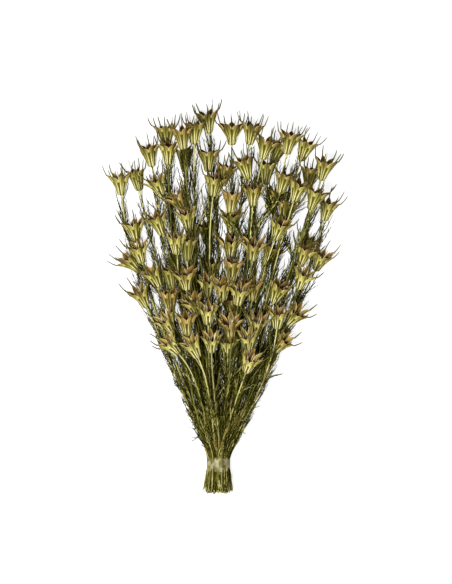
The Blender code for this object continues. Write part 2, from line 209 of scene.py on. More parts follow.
# The look of each pod that isn't an ordinary pale green one, by its place: from 0 for dark olive over 0.5
# for pale green to 1 for brown.
ODD_TONES = {
    (-119, 410): 0.2, (-78, 475): 0.15, (-51, 442): 0.2, (-52, 469): 0.8, (-51, 377): 0.75,
    (5, 416): 0.8, (51, 385): 0.7, (81, 452): 0.2, (70, 419): 0.15, (92, 404): 0.8, (134, 412): 0.75,
    (-46, 304): 0.3, (18, 374): 0.8, (50, 304): 0.75, (98, 359): 0.8, (104, 335): 0.7, (69, 295): 0.35,
    (126, 313): 0.65, (122, 296): 0.85, (-69, 262): 0.2, (-47, 260): 0.75, (-12, 272): 0.3,
    (20, 272): 0.8, (-71, 227): 0.8, (50, 244): 0.9, (18, 191): 0.95, (-46, 193): 0.85,
    (-31, 222): 0.7, (84, 169): 0.85, (6, 245): 0.7, (20, 217): 0.3, (-123, 332): 0.6,
}
TONE_DRAW = 0.08

# The fine pod. Heights are along its axis from the foot, shares are of a follicle's free part.
JOINED_HEIGHTS = (0, 0.7, 2, 4.5, 8, 12)
JOINED_RADII = (3.0, 5.2, 6.2, 7.0, 7.8, 8.7)
NOTCHES = (23 * MM, 16.5 * MM)
FREE_SHARES = (0.12, 0.26, 0.4, 0.54, 0.68, 0.81, 0.92, 1)
FREE_DEPTHS = (3.2, 4.2, 4.9, 5.1, 4.7, 3.6, 2.1, 0.9)
FREE_HALVES = (1.02, 1.07, 1.08, 1.03, 0.91, 0.7, 0.43, 0.16)
FOLD_POWER = 1.5
ACROSS = 7
WALL = 0.5 * MM
GROOVE_SHARE = 0.21
GROOVE_POWER = 2.2
TIP_HEIGHT = 33 * MM
TIP_FLARE = 3.0 * MM
TIP_SHARE = 0.1
STYLE_COUNT = 11
STYLE_FOOT = 3.4 * MM
STYLE_LENGTHS = (12 * MM, 34 * MM)
STYLE_RADII = (0.7 * MM, 0.45 * MM)
BEAK_STEPS = 5
BEAK_SIDES = 4
BEAK_RADII = (0.95 * MM, 0.56 * MM)

# Fine stems and leaves.
STEM_SIDES = 7
STEM_POINTS = 26
LEAF_STEPS = ((-1, 2.4), (0, 3.2), (50, 3.6), (90, 4.4), (220, 4.4), (300, 4.0))
LEAF_TOP = 26 * MM
LEAFLETS = 10
UNDER_SHARES = (0.5, 0.75, 0.65)
# How much darker the leaves that hang under their stem are drawn: painted shade.
UNDER_LEAF_PAINTED_SHADE = 0.2
CUT_STRAY = 0.5 * MM
PRESSED = 7
PRESSED_OUTER = 26
OUTER_SLOT = 11 * MM
PRESSED_REACH = 16.8 * MM
THREAD_WIDTH = 0.47 * MM
EDGE_TOP = 240 * MM
EDGE_ROOM = 4.5 * MM
EDGE_HOLD = 0.65

# Leaves that stray out of the bunch: how far above the tie, on which side, their direction from the way of
# the bunch and their length.
STRAYS = (
    (127, 1, 58, 31), (73, 1, 36, 26), (50, 1, 128, 10), (98, 1, 30, 18), (44, -1, -132, 18),
    (52, -1, -100, 12), (107, -1, -30, 22), (136, -1, -25, 20), (66, -1, -50, 12), (30, 1, 60, 9),
)
FLOOR_GAP = 0.5 * MM

# The tape, the camera and the light.
TAPE_WALL = 0.35 * MM
TAPE_ALPHA = 0.25
TAPE_LENGTH = 21 * MM
TAPE_MIDDLE = -1.8 * MM
TAPE_START = 1.2
TAPE_TURNS = 1.6
TAPE_PITCH = 0.5 * MM
SENSOR = 24
CAMERA_HEIGHT = 4.5
MIDDLE_HEIGHT = 0.03
FRAME_HEIGHT = 0.876
CENTRE_X = 0.0024
CENTRE_Y = 0.0057
WORLD_STRENGTH = 0.16
KEY_POWER = 60
FILL_POWER = 6
FLOOR_GLOW = 0.68

TIE_LOW, TIE_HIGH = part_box("tie")
SHIFT = np.array([(TIE_LOW[0] + TIE_HIGH[0]) / 2, (TIE_LOW[1] + TIE_HIGH[1]) / 2, 0])


def aim(axis, turn=0.0):
    """A rotation that takes +Z to the axis, after a turn about it."""
    return axis.to_track_quat("Z", "Y").to_matrix().to_4x4() @ Matrix.Rotation(turn, 4, "Z")


def share(value, low, high):
    return min(1.0, max(0.0, (value - low) / (high - low)))


def around(angle, radius, height):
    return Vector((radius * math.cos(angle), radius * math.sin(angle), height))


def pod_points(mouth, grow):
    """The points of a pod: its foot, its waist of ridges and valleys, its lip, its throat and its beaks."""
    rim = mouth / 2
    step = math.pi / FOLLICLES
    foot = [around(2 * i * step, POD_FOOT + grow, -grow) for i in range(FOLLICLES)]
    waist, lip = [], []
    for i in range(FOLLICLES):
        ridge, valley = 2 * i * step, (2 * i + 1) * step
        waist.append(around(ridge, POD_WAIST + grow, WAIST_HEIGHT))
        waist.append(around(valley, POD_WAIST * VALLEY + grow, WAIST_HEIGHT))
        lip.append(around(ridge, rim + grow, POD_HEIGHT + grow))
        lip.append(around(valley, rim * NOTCH_RADIUS + grow, NOTCH_HEIGHT + grow))
    throat = [Vector((0, 0, THROAT_HEIGHT + grow))]
    beaks = []
    width = BEAK_WIDTH + grow
    for i in range(FOLLICLES):
        out = around(2 * i * step, 1, 0)
        side = around(2 * i * step + math.pi / 2, 1, 0)
        shoulder = out * (rim + SHOULDER_FLARE) + Vector((0, 0, POD_HEIGHT + SHOULDER_RISE))
        back = shoulder - out * width * BEAK_BACK
        beaks.append(shoulder + out * width)
        beaks.append(back - side * width)
        beaks.append(back + side * width)
        beaks.append(shoulder + out * BEAK_FLARE + Vector((0, 0, BEAK_RISE + grow)))
    return foot + waist + lip + throat + beaks


def pod_faces():
    """The faces between the points of a pod, follicle by follicle."""
    waist = FOLLICLES
    lip = waist + 2 * FOLLICLES
    throat = lip + 2 * FOLLICLES
    beaks = throat + 1
    faces = [tuple(reversed(range(FOLLICLES)))]
    for i in range(FOLLICLES):
        foot, next_foot = i, (i + 1) % FOLLICLES
        ridge, after = 2 * i, 2 * i + 1
        before, next_ridge = (ridge - 1) % (2 * FOLLICLES), (ridge + 2) % (2 * FOLLICLES)
        faces.append((foot, next_foot, waist + after))
        faces.append((foot, waist + after, waist + ridge))
        faces.append((next_foot, waist + next_ridge, waist + after))
        faces.append((waist + before, waist + ridge, lip + ridge, lip + before))
        faces.append((waist + ridge, waist + after, lip + after, lip + ridge))
        outer, left, right, tip = (beaks + 4 * i + k for k in range(4))
        faces.append((lip + before, lip + ridge, outer, left))
        faces.append((lip + ridge, lip + after, right, outer))
        faces.append((lip + after, lip + before, left, right))
        faces.append((left, outer, tip))
        faces.append((outer, right, tip))
        faces.append((right, left, tip))
        faces.append((lip + before, lip + after, throat))
    return faces


def hermite(start, end, leave, arrive, t):
    """The point at share t of the curve that leaves start along one vector and arrives along another."""
    t2, t3 = t * t, t * t * t
    return (
        start * (2 * t3 - 3 * t2 + 1)
        + leave * (t3 - 2 * t2 + t)
        + end * (3 * t2 - 2 * t3)
        + arrive * (t3 - t2)
    )


def curve(start, end, leave, arrive, steps):
    return [hermite(start, end, leave, arrive, i / steps) for i in range(steps + 1)]


def sleeve(route, radii, grow):
    """Points and faces of a plain tube along a route, to try for room with."""
    points, faces = [], []
    for i, place in enumerate(route):
        ahead = route[min(i + 1, len(route) - 1)] - route[max(i - 1, 0)]
        frame = aim(ahead.normalized())
        points += [
            place + frame @ around(2 * math.pi * k / SLEEVE_SIDES, radii[i] + grow, 0)
            for k in range(SLEEVE_SIDES)
        ]
    for low in range(0, len(points) - SLEEVE_SIDES, SLEEVE_SIDES):
        high = low + SLEEVE_SIDES
        for k in range(SLEEVE_SIDES):
            after = (k + 1) % SLEEVE_SIDES
            faces.append((low + k, low + after, high + after, high + k))
    return points, faces


def tree_of(shapes):
    """A search tree over the faces of some shapes, or None with no shape."""
    points, faces = [], []
    for some_points, some_faces in shapes:
        start = len(points)
        points += some_points
        faces += [tuple(start + i for i in face) for face in some_faces]
    return BVHTree.FromPolygons(points, faces) if faces else None


def crosses(tree, other):
    return tree is not None and other is not None and bool(tree.overlap(other))


class Limb:
    """One pod on its stem or shoot: its place, its route and what grows from it."""

    def __init__(self, place, chance):
        across, along, lean, mouth = place
        self.x, self.y, self.mouth = across * MM, along * MM, mouth * MM
        self.order = self.y
        self.lean = math.radians(lean)
        raised = share(LONG_REACH - self.y, 0, LONG_REACH - SHORT_REACH)
        self.pitch = FLAT_PITCH + (RAISED_PITCH - FLAT_PITCH) * raised + chance.uniform(*PITCH_DRAW)
        self.turn = chance.uniform(0, 2 * math.pi)
        self.cut = CUT_END + chance.uniform(-CUT_SPREAD, CUT_SPREAD)
        self.slot = None
        self.parent = None
        self.route = []
        self.radii = []
        self.shoots = []
        self.threads = []

    def pod(self, grow=0.0):
        place = Matrix.Translation(self.base) @ aim(self.axis, self.turn)
        return [place @ p for p in pod_points(self.mouth, grow)], pod_faces()

    def set_height(self, lift):
        """Stands the pod with its lowest point this far above the table."""
        pitch = math.radians(self.pitch)
        flat = math.cos(pitch)
        self.axis = Vector((math.sin(self.lean) * flat, math.cos(self.lean) * flat, math.sin(pitch)))
        self.base = Vector((self.x, self.y, 0))
        self.base.z = lift - min(p.z for p in self.pod()[0])

    def from_tie(self, fan, rise):
        """The route of a main stem: straight below and through the tie, then out to the pod.

        The fan and the rise say how far it leaves as its place in the tie leads it, and not at its pod.
        """
        slot = self.slot
        away = self.base - slot
        across = away.x * FAN_SLOPE * (1 - fan) + slot.x * SPREAD_ACROSS * away.y * fan
        up = away.z * FAN_SLOPE * (1 - rise) + (slot.z - STEM_RADIUS) * SPREAD_UP * away.y * rise
        leave = Vector((across, away.y, up))
        start = slot + Vector((0, TIE_LENGTH / 2 + STRAIGHT_PAST_TIE, 0))
        arrive = self.axis * (self.base - start).length
        self.route = [Vector((slot.x * TAIL_SPLAY, self.cut, slot.z))]
        self.route += curve(start, self.base, leave, arrive, STEM_STEPS)
        self.span = (start, self.base, leave, arrive)
        taper = STEM_RADIUS - NECK_RADIUS
        self.radii = [STEM_RADIUS - taper * share(p.y, self.cut, self.base.y) for p in self.route]

    def from_stem(self, parent, back):
        """The route of a shoot that leaves its parent this far behind the pod."""
        place, along = parent.at(self.y - back)
        away = self.base - place
        leave = along * away.length * ALONG_STEM + away * TOWARDS_POD
        self.parent = parent
        self.route = curve(place, self.base, leave, self.axis * away.length, SHOOT_STEPS)
        self.span = (place, self.base, leave, self.axis * away.length)
        self.radii = [SHOOT_RADIUS] + [NECK_RADIUS] * SHOOT_STEPS

    def at(self, y):
        """The point of the route at this y, and the route's direction there."""
        for before, after in zip(self.route, self.route[1:]):
            if y <= after.y:
                break
        part = (y - before.y) / (after.y - before.y)
        return before.lerp(after, part), (after - before).normalized()

    def has_fork(self, y):
        """Whether a shoot can leave this stem at this y, far enough from the tie and from the pod."""
        free = self.slot is not None and self.route and not self.shoots
        return bool(free) and self.route[1].y + STEM_BELOW_FORK < y < self.y - STEM_ABOVE_FORK

    def shapes(self, grow=0.0):
        """The shapes that fill the space of the stem and the pod."""
        return [sleeve(self.route, self.radii, grow), self.pod(grow)]

    def trial(self):
        """The same with room to spare. A shoot leaves out its root, which is inside its stem."""
        route = list(self.route)
        if self.parent:
            route[0] = route[0].lerp(route[1], ROOT_LEFT_OUT)
        return [sleeve(route, self.radii, CLEARANCE), self.pod(CLEARANCE)]

    def above_table(self):
        return min(p.z - r for p, r in zip(self.route, self.radii)) > CLEARANCE


def slots_in_tie(count):
    """The places of the stems in the tie: the middle of a close packing, row on row from the table up."""
    row_height = STEM_PITCH * math.sqrt(3) / 2
    most = math.ceil(BUNDLE_RADIUS / row_height)
    places = []
    for row in range(-most, most + 1):
        for i in range(-most, most + 1):
            across, up = (i + row % 2 / 2) * STEM_PITCH, row * row_height
            places.append((math.hypot(across, up), row, Vector((across, 0, TIE_MIDDLE + up))))
    places.sort(key=lambda place: (round(place[0] / WELD), place[1], place[2].x))
    widest = places[count - 1][0] + STEM_RADIUS
    assert widest <= BUNDLE_RADIUS, f"the stems fill a radius of {widest}"
    rows = {}
    for _, row, slot in places[:count]:
        rows.setdefault(row, []).append(slot)
    return [sorted(rows[row], key=lambda slot: slot.x) for row in sorted(rows)]


def plan_limbs():
    """Every main stem, and every limb in the order they are laid down, the longest first."""
    chance = random.Random(10)
    mains = [Limb(place, chance) for place in MAIN_PODS]
    sides = [Limb(place, chance) for place in SIDE_PODS]
    rears = [Limb(place, chance) for place in REAR_PODS]
    for limb in rears:
        limb.order += REAR_BONUS
        limb.pitch *= REAR_PITCH
    mains.sort(key=lambda limb: -limb.order)
    first = 0
    for row in slots_in_tie(len(mains)):
        chosen = sorted(mains[first : first + len(row)], key=lambda limb: limb.x / limb.y)
        first += len(row)
        for limb, slot in zip(chosen, row):
            limb.slot = slot
    return mains, sorted(mains + sides + rears, key=lambda limb: -limb.order)


def forks(limb, mains):
    """The stems that a shoot can grow from, with how far behind its pod, the nearest first."""
    for back in FORKS:
        options = []
        for main in mains:
            if main.has_fork(limb.y - back):
                place, _ = main.at(limb.y - back)
                options.append(((place - limb.base).length, main))
        options.sort(key=lambda option: option[0])
        for distance, main in options[:NEAREST_STEMS]:
            if distance < back * WIDEST_FORK:
                yield main, back


def settles(limb, lift, mains, tree):
    """Whether the limb can lie this high, clear of the table and of the tree of what lies there."""
    limb.set_height(lift)
    way_to_grow = limb.from_tie if limb.slot else limb.from_stem
    for way in WAYS_OUT if limb.slot else forks(limb, mains):
        way_to_grow(*way)
        if limb.above_table() and not crosses(tree_of(limb.trial()), tree):
            return True
    return False


def lay_out(mains, limbs):
    """Lays the limbs on each other, each as low as it lies clear of those before it."""
    placed = []
    for limb in limbs:
        tree = tree_of(placed)
        lift = 0.0
        while not settles(limb, lift, mains, tree):
            lift += LIFT_STEP
            assert lift < HIGHEST, f"no room for the pod at {limb.x}, {limb.y}"
        placed += limb.shapes()
        if limb.parent:
            limb.parent.shoots.append(limb)


def thread_places(limb, chance):
    """Where the thread leaves of a limb grow: the place and the direction of the stem there."""
    y = max(limb.route[0].y, LOWEST_THREAD) + THREAD_SPACING * chance.uniform(0.5, 1)
    while y < limb.y - THREAD_SPACING / 4:
        yield limb.at(y)
        y += THREAD_SPACING * chance.uniform(0.8, 1.2)


def grow_thread(limb, place, along, turn, trees, chance):
    """Adds one thread leaf, turned until it is clear of the trees, and returns its shape if it is."""
    for attempt in range(THREAD_TRIES):
        spin = math.radians(turn + attempt * GOLDEN_ANGLE)
        tilt = math.radians(chance.uniform(*THREAD_TILTS))
        length = chance.uniform(*THREAD_LENGTHS)
        axis = aim(along, spin) @ Vector((math.sin(tilt), 0, math.cos(tilt)))
        ends = [place, place + axis * length]
        trial = tree_of([sleeve(ends, [THREAD_RADIUS, 0], THREAD_ROOM)])
        low = min(end.z for end in ends) < THREAD_RADIUS + CLEARANCE
        if not low and not any(crosses(trial, tree) for tree in trees):
            limb.threads.append((place, axis, length))
            return [sleeve(ends, [THREAD_RADIUS, 0], 0)]
    return []


def grow_threads(plants):
    """Gives every plant its thread leaves, each clear of the other plants and of their leaves."""
    chance = random.Random(11)
    bodies = {plant: [s for limb in [plant] + plant.shoots for s in limb.shapes()] for plant in plants}
    grown = {plant: [] for plant in plants}

    def tree_of_others(shapes, plant):
        return tree_of([s for other in plants if other is not plant for s in shapes[other]])

    for plant in plants:
        trees = [tree_of_others(bodies, plant), tree_of_others(grown, plant)]
        for limb in [plant] + plant.shoots:
            turn = chance.uniform(0, 360)
            for place, along in thread_places(limb, chance):
                turn += GOLDEN_ANGLE
                grown[plant] += grow_thread(limb, place, along, turn, trees, chance)


def fine_route(limb):
    """The stem or shoot as a smooth line, from its root or its cut end into the foot of its pod."""
    start, end, leave, arrive = (np.array(v) for v in limb.span)
    if limb.parent:
        start = at_y(limb.parent.line, start[1])
    t = np.linspace(0, 1, STEM_POINTS)[:, None]
    line = (
        start * (2 * t**3 - 3 * t**2 + 1)
        + leave * (t**3 - 2 * t**2 + t)
        + end * (3 * t**2 - 2 * t**3)
        + arrive * (t**3 - t**2)
    )
    if not limb.parent:
        tail = np.linspace(np.array(limb.route[0]), start, 8)[:-1]
        stray = np.random.default_rng(round(limb.y / MM)).uniform(-CUT_STRAY, CUT_STRAY, 3)
        tail[:3] += stray * np.array([1, 0.6, 0.2])[:, None]
        line = np.concatenate([tail, line])
    line = np.concatenate([line, [end + np.array(limb.axis) * 1.5 * MM]])
    inner = slice(1, -2)
    line[inner] = 0.25 * line[:-3] + 0.5 * line[inner] + 0.25 * line[2:-1]
    return line


def at_y(line, y):
    return np.array([np.interp(y, line[:, 1], line[:, k]) for k in range(3)])


def unit(vectors):
    return vectors / np.maximum(np.linalg.norm(vectors, axis=-1, keepdims=True), 1e-12)


class Heap:
    """Points, faces and values at the points of one piece, gathered before it is made."""

    def __init__(self):
        self.points, self.faces, self.values, self.marks = [], [], [], []
        self.count = 0

    def add(self, points, faces, values, marks):
        """Adds points (n, 3), lists of faces (m, k), values (n, 3) and marks (n, 3)."""
        self.points.append(points)
        self.values.append(np.broadcast_to(values, (len(points), 3)))
        self.marks.append(np.broadcast_to(marks, (len(points), 3)))
        for some in faces:
            if len(some):
                self.faces.append(some + self.count)
        self.count += len(points)

    def make(self, name, material):
        mesh = bpy.data.meshes.new(name)
        points = np.concatenate(self.points) + SHIFT
        points[:, 2] = np.maximum(points[:, 2], 0)
        sizes = np.concatenate([np.full(len(some), some.shape[1]) for some in self.faces])
        corners = np.concatenate([some.ravel() for some in self.faces])
        mesh.vertices.add(len(points))
        mesh.vertices.foreach_set("co", points.ravel())
        mesh.loops.add(len(corners))
        mesh.loops.foreach_set("vertex_index", corners)
        mesh.polygons.add(len(sizes))
        mesh.polygons.foreach_set("loop_start", np.concatenate([[0], np.cumsum(sizes)[:-1]]))
        mesh.update(calc_edges=True)
        mesh.validate()
        for label, data in (("form", self.values), ("tone", self.marks)):
            layer = mesh.attributes.new(label, "FLOAT_COLOR", "POINT")
            rgba = np.ones((len(points), 4), dtype=np.float32)
            rgba[:, :3] = np.concatenate(data)
            layer.data.foreach_set("color", rgba.ravel())
        mesh.shade_smooth()
        mesh.set_sharp_from_angle(angle=math.radians(55))
        mesh.materials.append(material)
        made = bpy.data.objects.new(name, mesh)
        bpy.context.scene.collection.objects.link(made)
        return made


def tubes(lines, radii, sides, tip=True):
    """Points and faces of tubes along lines (n, k, 3) with radii (n, k), their roots capped.

    With a tip the last point of each line is a point, and without one it is a capped ring.
    """
    count, rings = lines.shape[:2]
    ahead = np.gradient(lines, axis=1)
    ahead = unit(ahead)
    flat = np.argmin(np.abs(ahead[:, 0]), axis=1)
    across = unit(np.cross(ahead, np.eye(3)[flat][:, None, :]))
    up = np.cross(ahead, across)
    around_rings = rings - 1 if tip else rings
    angles = 2 * np.pi * np.arange(sides) / sides
    ring = (
        lines[:, :around_rings, None, :]
        + radii[:, :around_rings, None, None]
        * (
            np.cos(angles)[None, None, :, None] * across[:, :around_rings, None, :]
            + np.sin(angles)[None, None, :, None] * up[:, :around_rings, None, :]
        )
    )
    points = ring.reshape(count, around_rings * sides, 3)
    if tip:
        points = np.concatenate([points, lines[:, -1:, :]], axis=1)
    each = points.shape[1]
    starts = np.arange(count)[:, None, None] * each
    k, s = np.meshgrid(np.arange(around_rings - 1), np.arange(sides), indexing="ij")
    after = (s + 1) % sides
    quads = np.stack([k * sides + s, k * sides + after, (k + 1) * sides + after, (k + 1) * sides + s], -1)
    quads = (quads.reshape(1, -1, 4) + starts).reshape(-1, 4)
    root = (np.arange(sides)[::-1].reshape(1, 1, -1) + starts).reshape(-1, sides)
    last = (around_rings - 1) * sides
    if tip:
        ends = np.stack([last + np.arange(sides), last + (np.arange(sides) + 1) % sides,
                         np.full(sides, each - 1)], -1)
        ends = (ends.reshape(1, -1, 3) + starts).reshape(-1, 3)
    else:
        ends = (last + np.arange(sides).reshape(1, 1, -1) + starts).reshape(-1, sides)
    return points.reshape(-1, 3), [quads, root, ends]


def along_tubes(values, rings, sides, tip=True):
    """One value for each point of tubes, from values (n, k) for each point of their lines."""
    count = len(values)
    around_rings = rings - 1 if tip else rings
    spread = np.repeat(values[:, :around_rings], sides, axis=1)
    if tip:
        spread = np.concatenate([spread, values[:, -1:]], axis=1)
    return spread.reshape(count * spread.shape[1])


def bent(roots, first, last, lengths, steps):
    """Lines (n, steps + 1, 3) that leave their roots along first and turn towards last."""
    share = np.linspace(0, 1, steps + 1)[None, :, None]
    return roots[:, None, :] + lengths[:, None, None] * (
        share * first[:, None, :] + 0.5 * share**2 * (last - first)[:, None, :]
    )


def add_stem(heap, limb, chance):
    """The stem or shoot: a thin tube, a little uneven."""
    line = limb.line
    count = len(line)
    share_along = np.linspace(0.2 if limb.parent else 0, 1, count)
    radii = np.interp(line[:, 1], [p.y for p in limb.route], limb.radii)
    radii = radii * (1 + 0.05 * chance.standard_normal(count)) * chance.uniform(0.82, 1.05)
    tone = chance.uniform()
    points, faces = tubes(line[None], radii[None], STEM_SIDES, tip=False)
    values = np.zeros((len(points), 3))
    values[:, 0] = along_tubes(share_along[None], count, STEM_SIDES, tip=False)
    heap.add(points, faces, values, (tone, 0, chance.uniform()))


def leaf_roots(limb, chance):
    """Where the leaves of a limb grow, as points on its line with the direction there."""
    line = limb.line
    steps = np.linalg.norm(np.diff(line, axis=0), axis=1)
    reach = np.concatenate([[0], np.cumsum(steps)])
    places = []
    along = 2 * MM if limb.parent else 0.0
    top = reach[-1] - LEAF_TOP * chance.uniform(0.5, 2.2)
    while along < top:
        place = np.array([np.interp(along, reach, line[:, k]) for k in range(3)])
        ahead = np.array([np.interp(along + 3 * MM, reach, line[:, k]) for k in range(3)]) - place
        if not -TIE_LENGTH / 2 - 6 * MM < place[1] < TIE_LENGTH / 2 + 2 * MM:
            places.append((place, ahead / np.linalg.norm(ahead)))
        along += np.interp(place[1] / MM, *zip(*LEAF_STEPS)) * MM * chance.uniform(0.7, 1.3)
    return places


def cone_edges(plants):
    """Heights above the tie, and how far to the left and the right the stems reach at each."""
    y = np.linspace(0, EDGE_TOP, 40)
    across = [np.interp(y, plant.line[:, 1], plant.line[:, 0]) for plant in plants]
    return y, np.min(across, axis=0), np.max(across, axis=0)


def pull_in(lines, edges, held=True):
    """Moves what sticks out sideways past the stems most of the way back to them, and up off the table."""
    y, left, right = edges
    x, along = lines[..., 0], lines[..., 1]
    over = np.maximum(x - np.interp(along, y, right) - EDGE_ROOM, 0)
    over -= np.maximum(np.interp(along, y, left) - EDGE_ROOM - x, 0)
    hold = held * EDGE_HOLD * np.clip(3 * (EDGE_TOP - along) / EDGE_TOP, 0, 1) * (along > 0)
    lines[..., 0] = x - over * hold
    lines[..., 2] = np.maximum(lines[..., 2], FLOOR_GAP)


def add_leaves(heap, limb, edges, chance):
    """The thread leaves of a limb: each a thin rib with finer threads on both sides."""
    if limb.threads:
        roots = np.array([at_y(limb.line, place.y) for place, _, _ in limb.threads])
        first = np.array([axis for _, axis, _ in limb.threads])
        lengths = np.array([length for _, _, length in limb.threads])
        height = np.clip((roots[:, 1] - 60 * MM) / (200 * MM), 0, 1)
        add_threads(heap, roots, first, first, lengths, height, edges, chance)
    places = leaf_roots(limb, chance)
    if not places:
        return
    roots = np.array([p for p, _ in places])
    ahead = np.array([a for _, a in places])
    count = len(roots)
    below = roots[:, 1] < 0
    height = np.clip((roots[:, 1] - 60 * MM) / (200 * MM), 0, 1)
    turn = np.radians(GOLDEN_ANGLE) * np.arange(count) + chance.uniform(0, 6.28) + chance.normal(0, 0.5, count)
    side = unit(np.cross(ahead, np.array([0.0, 0.0, 1.0])))
    up = np.cross(side, ahead)
    under = np.interp(roots[:, 1] / MM, (40, 90, 220), UNDER_SHARES)
    rise = np.where(chance.uniform(size=count) < under, -np.abs(np.sin(turn)), np.sin(turn))
    out = np.cos(turn)[:, None] * side + rise[:, None] * up
    tilt = np.radians(3 + 7 * height + chance.uniform(0, 11, count) * (2.8 - 1.8 * height))
    tilt = np.where(below, np.radians(chance.uniform(12, 42, count)), tilt)
    first = np.cos(tilt)[:, None] * ahead + np.sin(tilt)[:, None] * out
    bend = np.radians(chance.uniform(-45, 20, count)) * (1 - height)
    bend -= tilt * height * chance.uniform(0.4, 1.1, count)
    bend = np.where(below, -tilt - np.radians(chance.uniform(0, 25, count)), bend)
    last = np.cos(tilt + bend)[:, None] * ahead + np.sin(tilt + bend)[:, None] * out
    last = unit(last + chance.normal(0, 0.2, (count, 3)) * (1 - height)[:, None])
    # Painted shade: leaves that hang under their stem get a darker tone, less so higher up.
    shade = -UNDER_LEAF_PAINTED_SHADE * (rise < 0) * (1 - 0.6 * height)
    lengths = chance.uniform(24, 50, count) * (1 + 0.15 * height) * MM
    lengths = np.where(below, np.minimum(lengths, 0.9 * (-TIE_LENGTH / 2 - 1 * MM - roots[:, 1])), lengths)
    lengths = np.maximum(lengths, 4 * MM)
    add_threads(heap, roots, first, last, lengths, height, edges, chance, shade)


def add_threads(heap, roots, first, last, lengths, height, edges, chance, shade=0.0, held=True):
    """Leaf ribs along the given directions, with finer threads on both sides of each."""
    count = len(roots)
    steps = 4
    ribs = bent(roots, first, last, lengths, steps)
    ribs[:, 1:] += np.cumsum(chance.normal(0, 0.8 if held else 1.3, (count, steps, 3)), axis=1) * MM
    pull_in(ribs, edges, held)
    widths = THREAD_WIDTH * 1.3 * np.linspace(1, 0.45, steps + 1)[None, :].repeat(count, axis=0)
    # shade lowers the tone of leaves that hang under their stem: painted shade.
    tone = np.clip(chance.uniform(size=count) + shade, 0, 1)
    points, faces = tubes(ribs, widths, 3)
    share_along = np.linspace(0, 1, steps + 1)[None, :].repeat(count, axis=0)
    values = np.ones((len(points), 3))
    values[:, 0] = along_tubes(share_along, steps + 1, 3)
    marks = np.ones((len(points), 3))
    marks[:, 0] = along_tubes(tone[:, None].repeat(steps + 1, axis=1), steps + 1, 3)
    marks[:, 1] = along_tubes(height[:, None].repeat(steps + 1, axis=1), steps + 1, 3)
    heap.add(points, faces, values, marks)
    shares = (np.arange(LEAFLETS) + 0.8) / (LEAFLETS + 0.8)
    shares = np.clip(shares[None, :] + chance.normal(0, 0.02, (count, LEAFLETS)), 0.06, 0.97)
    whole = np.minimum((shares * steps).astype(int), steps - 1)
    part = (shares * steps - whole)[..., None]
    each = np.arange(count)[:, None]
    starts = ribs[each, whole] * (1 - part) + ribs[each, whole + 1] * part
    way = unit(first[:, None, :] + shares[..., None] * (last - first)[:, None, :])
    flat = unit(np.cross(first, last + chance.normal(0, 0.35, (count, 3))))
    spin = np.where(np.arange(LEAFLETS) % 2 == 0, 0.0, np.pi)[None, :] + chance.normal(0, 0.6, (count, LEAFLETS))
    normal = np.cross(way, flat[:, None, :].repeat(LEAFLETS, axis=1))
    normal = unit(normal)
    flat = unit(np.cross(normal, way))
    aside = np.cos(spin)[..., None] * flat + np.sin(spin)[..., None] * normal
    open_angle = np.radians(chance.uniform(8, 66 - 30 * height[:, None], (count, LEAFLETS)))[..., None]
    close_angle = open_angle * chance.uniform(-0.4, 0.9, (count, LEAFLETS))[..., None]
    begin = np.cos(open_angle) * way + np.sin(open_angle) * aside
    end = np.cos(close_angle) * way + np.sin(close_angle) * aside
    length = lengths[:, None] * chance.uniform(0.16, 0.36, (count, LEAFLETS)) * (1.15 - 0.6 * shares)
    steps = 2
    flat_list = lambda a: a.reshape(count * LEAFLETS, -1)
    lines = bent(flat_list(starts), flat_list(begin), flat_list(end), length.ravel(), steps)
    rooted = lines[:, 0].copy()
    pull_in(lines, edges, held)
    lines[:, 0] = rooted
    widths = (THREAD_WIDTH * np.array([1, 0.75, 0.3]))[None, :].repeat(len(lines), axis=0)
    points, faces = tubes(lines, widths, 3)
    values = np.ones((len(points), 3))
    values[:, 0] = 0.5
    marks = np.ones((len(points), 3))
    each = np.clip(tone[:, None] + chance.normal(0, 0.12, (count, LEAFLETS)), 0, 1).reshape(-1, 1)
    marks[:, 0] = along_tubes(each.repeat(steps + 1, axis=1), steps + 1, 3)
    high = height[:, None].repeat(LEAFLETS, axis=1).reshape(-1, 1)
    marks[:, 1] = along_tubes(high.repeat(steps + 1, axis=1), steps + 1, 3)
    heap.add(points, faces, values, marks)


def add_strays(heaps, plants, edges):
    """The leaves that stray, each on the outermost plant at its height."""
    chance = np.random.default_rng(len(plants) + 1)
    for along, side, angle, length in STRAYS * 2:
        y, turned = along * MM, math.radians(angle + chance.uniform(-9, 9))
        number = max(range(len(plants)), key=lambda i: side * at_y(plants[i].line, y)[0])
        roots = at_y(plants[number].line, y)[None]
        first = np.array([[math.sin(turned), math.cos(turned), 0.15]])
        last = unit(first + chance.normal(0, 0.35, (1, 3)))
        height = np.array([0.3])
        add_threads(heaps[number], roots, first, last, np.array([length * MM]), height, edges, chance, held=False)


